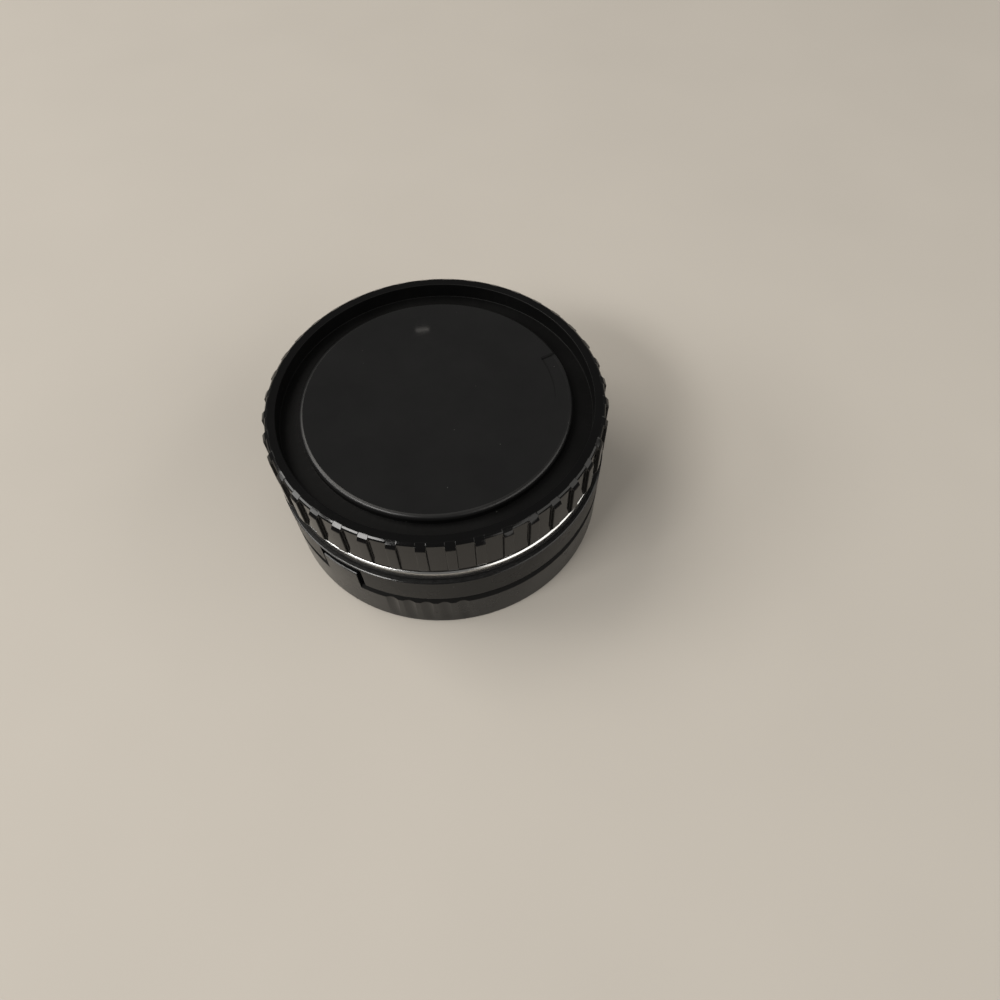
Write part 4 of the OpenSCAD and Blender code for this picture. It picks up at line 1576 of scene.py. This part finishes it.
@dataclass(frozen=True)
class Lamp:
    """A soft area lamp that faces the object.

    Attributes:
        name: Name of the lamp.
        azimuth: Direction from the object.
        elevation: Height above the floor, as an angle.
        distance: Distance from the object, in metres.
        size: Width and height, in metres.
        radiance: Brightness of the lamp's face.
        colour: Colour of the light.
        aim: Height of the point that it faces, in metres.
    """

    name: str
    azimuth: float
    elevation: float
    distance: float
    size: tuple[float, float]
    radiance: float
    colour: Colour
    aim: float = 0.015

    def hang(self) -> None:
        """Hangs the lamp."""
        data = bpy.data.lights.new(self.name, "AREA")
        data.shape = "RECTANGLE"
        data.size, data.size_y = self.size
        data.energy = self.radiance * math.pi * self.size[0] * self.size[1]
        data.color = self.colour
        a, e = math.radians(self.azimuth), math.radians(self.elevation)
        away = Vector((math.cos(a) * math.cos(e), math.sin(a) * math.cos(e), math.sin(e)))
        lamp = placed(self.name, data)
        lamp.location = away * self.distance + Vector((0, 0, self.aim))
        lamp.rotation_mode = "QUATERNION"
        lamp.rotation_quaternion = away.to_track_quat("Z", "Y")


WARM = (1.0, 0.96, 0.90)
DAYLIGHT = (1.0, 0.98, 0.95)
LAMPS: tuple[Lamp, ...] = (
    Lamp("key from the left back", 150, 50, 1.5, (0.9, 0.8), 4.6, WARM),
    Lamp("window at the left front", -148, 42, 1.2, (0.53, 0.22), 18.0, DAYLIGHT),
    Lamp("window at the left", 181, 29, 1.2, (0.78, 0.25), 7.0, DAYLIGHT),
    Lamp("bright wall at the right", -30, 32, 1.3, (1.9, 0.75), 1.9, (1.0, 0.97, 0.92)),
    Lamp("ceiling", 90, 88, 1.5, (1.0, 0.8), 0.5, WARM),
    Lamp("small lamp behind", 90.5, 44.9, 0.9, (0.017, 0.003), 1.8, (1.0, 0.95, 0.88)),
)


@dataclass
class Studio:
    """Floor, light and camera.

    Attributes:
        floor_colour: Colour of the floor, linear.
        floor_shade: Brightness of its darker patches.
        floor_patch: Patches on the floor per millimetre.
        floor_gloss: Roughness of the floor.
        floor_sheen: Specular level of the floor.
        floor_r: Half of the floor's width, in metres.
        sky: Colour of the world's plain light.
        sky_level: Strength of the world.
        image: Width of the image, in pixels.
        focal: Focal length, in pixels.
        sensor: Width of the camera's sensor.
        clip: Nearest and farthest distance in view, in metres.
        eye: The camera's place.
        yaw: Turn of the view to the right.
        pitch: Tilt of the view downwards.
        roll: Turn of the image.
    """

    floor_colour: Colour = (0.490, 0.458, 0.412)
    floor_shade: float = 0.97
    floor_patch: float = 0.02
    floor_gloss: float = 0.9
    floor_sheen: float = 0.1
    floor_r: float = 3.0
    sky: Colour = (1.0, 0.97, 0.93)
    sky_level: float = 0.16
    image: float = 1000.0
    focal: float = 749.0
    sensor: float = 36.0
    clip: tuple[float, float] = (0.005, 20.0)
    eye: tuple[float, float, float] = (0.0, -86.98, 132.53)
    yaw: float = 7.349
    pitch: float = 58.325
    roll: float = -1.315

    def floor(self) -> None:
        """Lays the pale floor."""
        mesh = bpy.data.meshes.new("floor")
        e = self.floor_r
        corners = [(-e, -e, 0), (e, -e, 0), (e, e, 0), (-e, e, 0)]
        mesh.from_pydata(corners, [], [(0, 1, 2, 3)])
        plane = placed("floor", mesh)
        web = Web("pale floor")
        cloud = web.noise(Axis.ALL, self.floor_patch, GRAIN_DETAIL)
        tone = tuple(self.floor_shade * c for c in self.floor_colour)
        colour = web.mix(web.between(cloud, 0.0, 1.0), self.floor_colour, tone)
        web.link(colour, web.shader.inputs["Base Color"])
        web.shader.inputs["Roughness"].default_value = self.floor_gloss
        web.shader.inputs["Specular IOR Level"].default_value = self.floor_sheen
        mesh.materials.append(web.material)
        plane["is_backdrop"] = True

    def light(self) -> None:
        """Sets the world's plain light and the lamps."""
        world = bpy.data.worlds.new("studio")
        bpy.context.scene.world = world
        world.use_nodes = True
        background = world.node_tree.nodes["Background"]
        background.inputs["Color"].default_value = (*self.sky, 1.0)
        background.inputs["Strength"].default_value = self.sky_level
        for lamp in LAMPS:
            lamp.hang()

    def camera(self) -> None:
        """Sets the camera at the photograph's place."""
        yaw, pitch, roll = (math.radians(v) for v in (self.yaw, self.pitch, self.roll))
        level = math.cos(pitch)
        ahead = Vector((math.sin(yaw) * level, math.cos(yaw) * level, -math.sin(pitch)))
        right = Vector((math.cos(yaw), -math.sin(yaw), 0))
        above = right.cross(ahead)
        across = math.cos(roll) * right + math.sin(roll) * above
        upward = -math.sin(roll) * right + math.cos(roll) * above
        data = bpy.data.cameras.new("camera")
        data.sensor_width = self.sensor
        data.lens = self.sensor * self.focal / self.image
        data.clip_start, data.clip_end = self.clip
        camera = placed("camera", data)
        pose = Matrix((across, upward, -ahead)).transposed().to_4x4()
        pose.translation = Vector(self.eye) * MM
        camera.matrix_world = pose
        bpy.context.scene.camera = camera


def stand_for(
    piece: bpy.types.Object, node: str, body: str, finish: Finishes
) -> None:
    """Puts a finer piece in a node's place.

    Args:
        piece: The new piece.
        node: The node that it stands for.
        body: The body that it moves with.
        finish: Its main finish.
    """
    finish.paint(piece)
    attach(piece, body)
    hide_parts(node)
    LOG.info("%s stands for %s, %d faces", piece.name, node, len(piece.data.polygons))


def main() -> None:
    """Builds the teleconverter's looks."""
    logging.basicConfig(level=logging.INFO, format="%(name)s: %(message)s")
    bpy.context.scene.view_settings.view_transform = "Standard"
    for part in (RearCap(), RearShell(), ReleaseRing(), NeckRing(), RearFlange(), InnerParts()):
        part.dress()
    studio = Studio()
    studio.floor()
    studio.light()
    studio.camera()
    boxes = {
        key: [list(corner) for corner in box]
        for key, box in (("cad", CAD_BOX), ("visual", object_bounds()))
    }


if __name__ == "__main__":
    main()
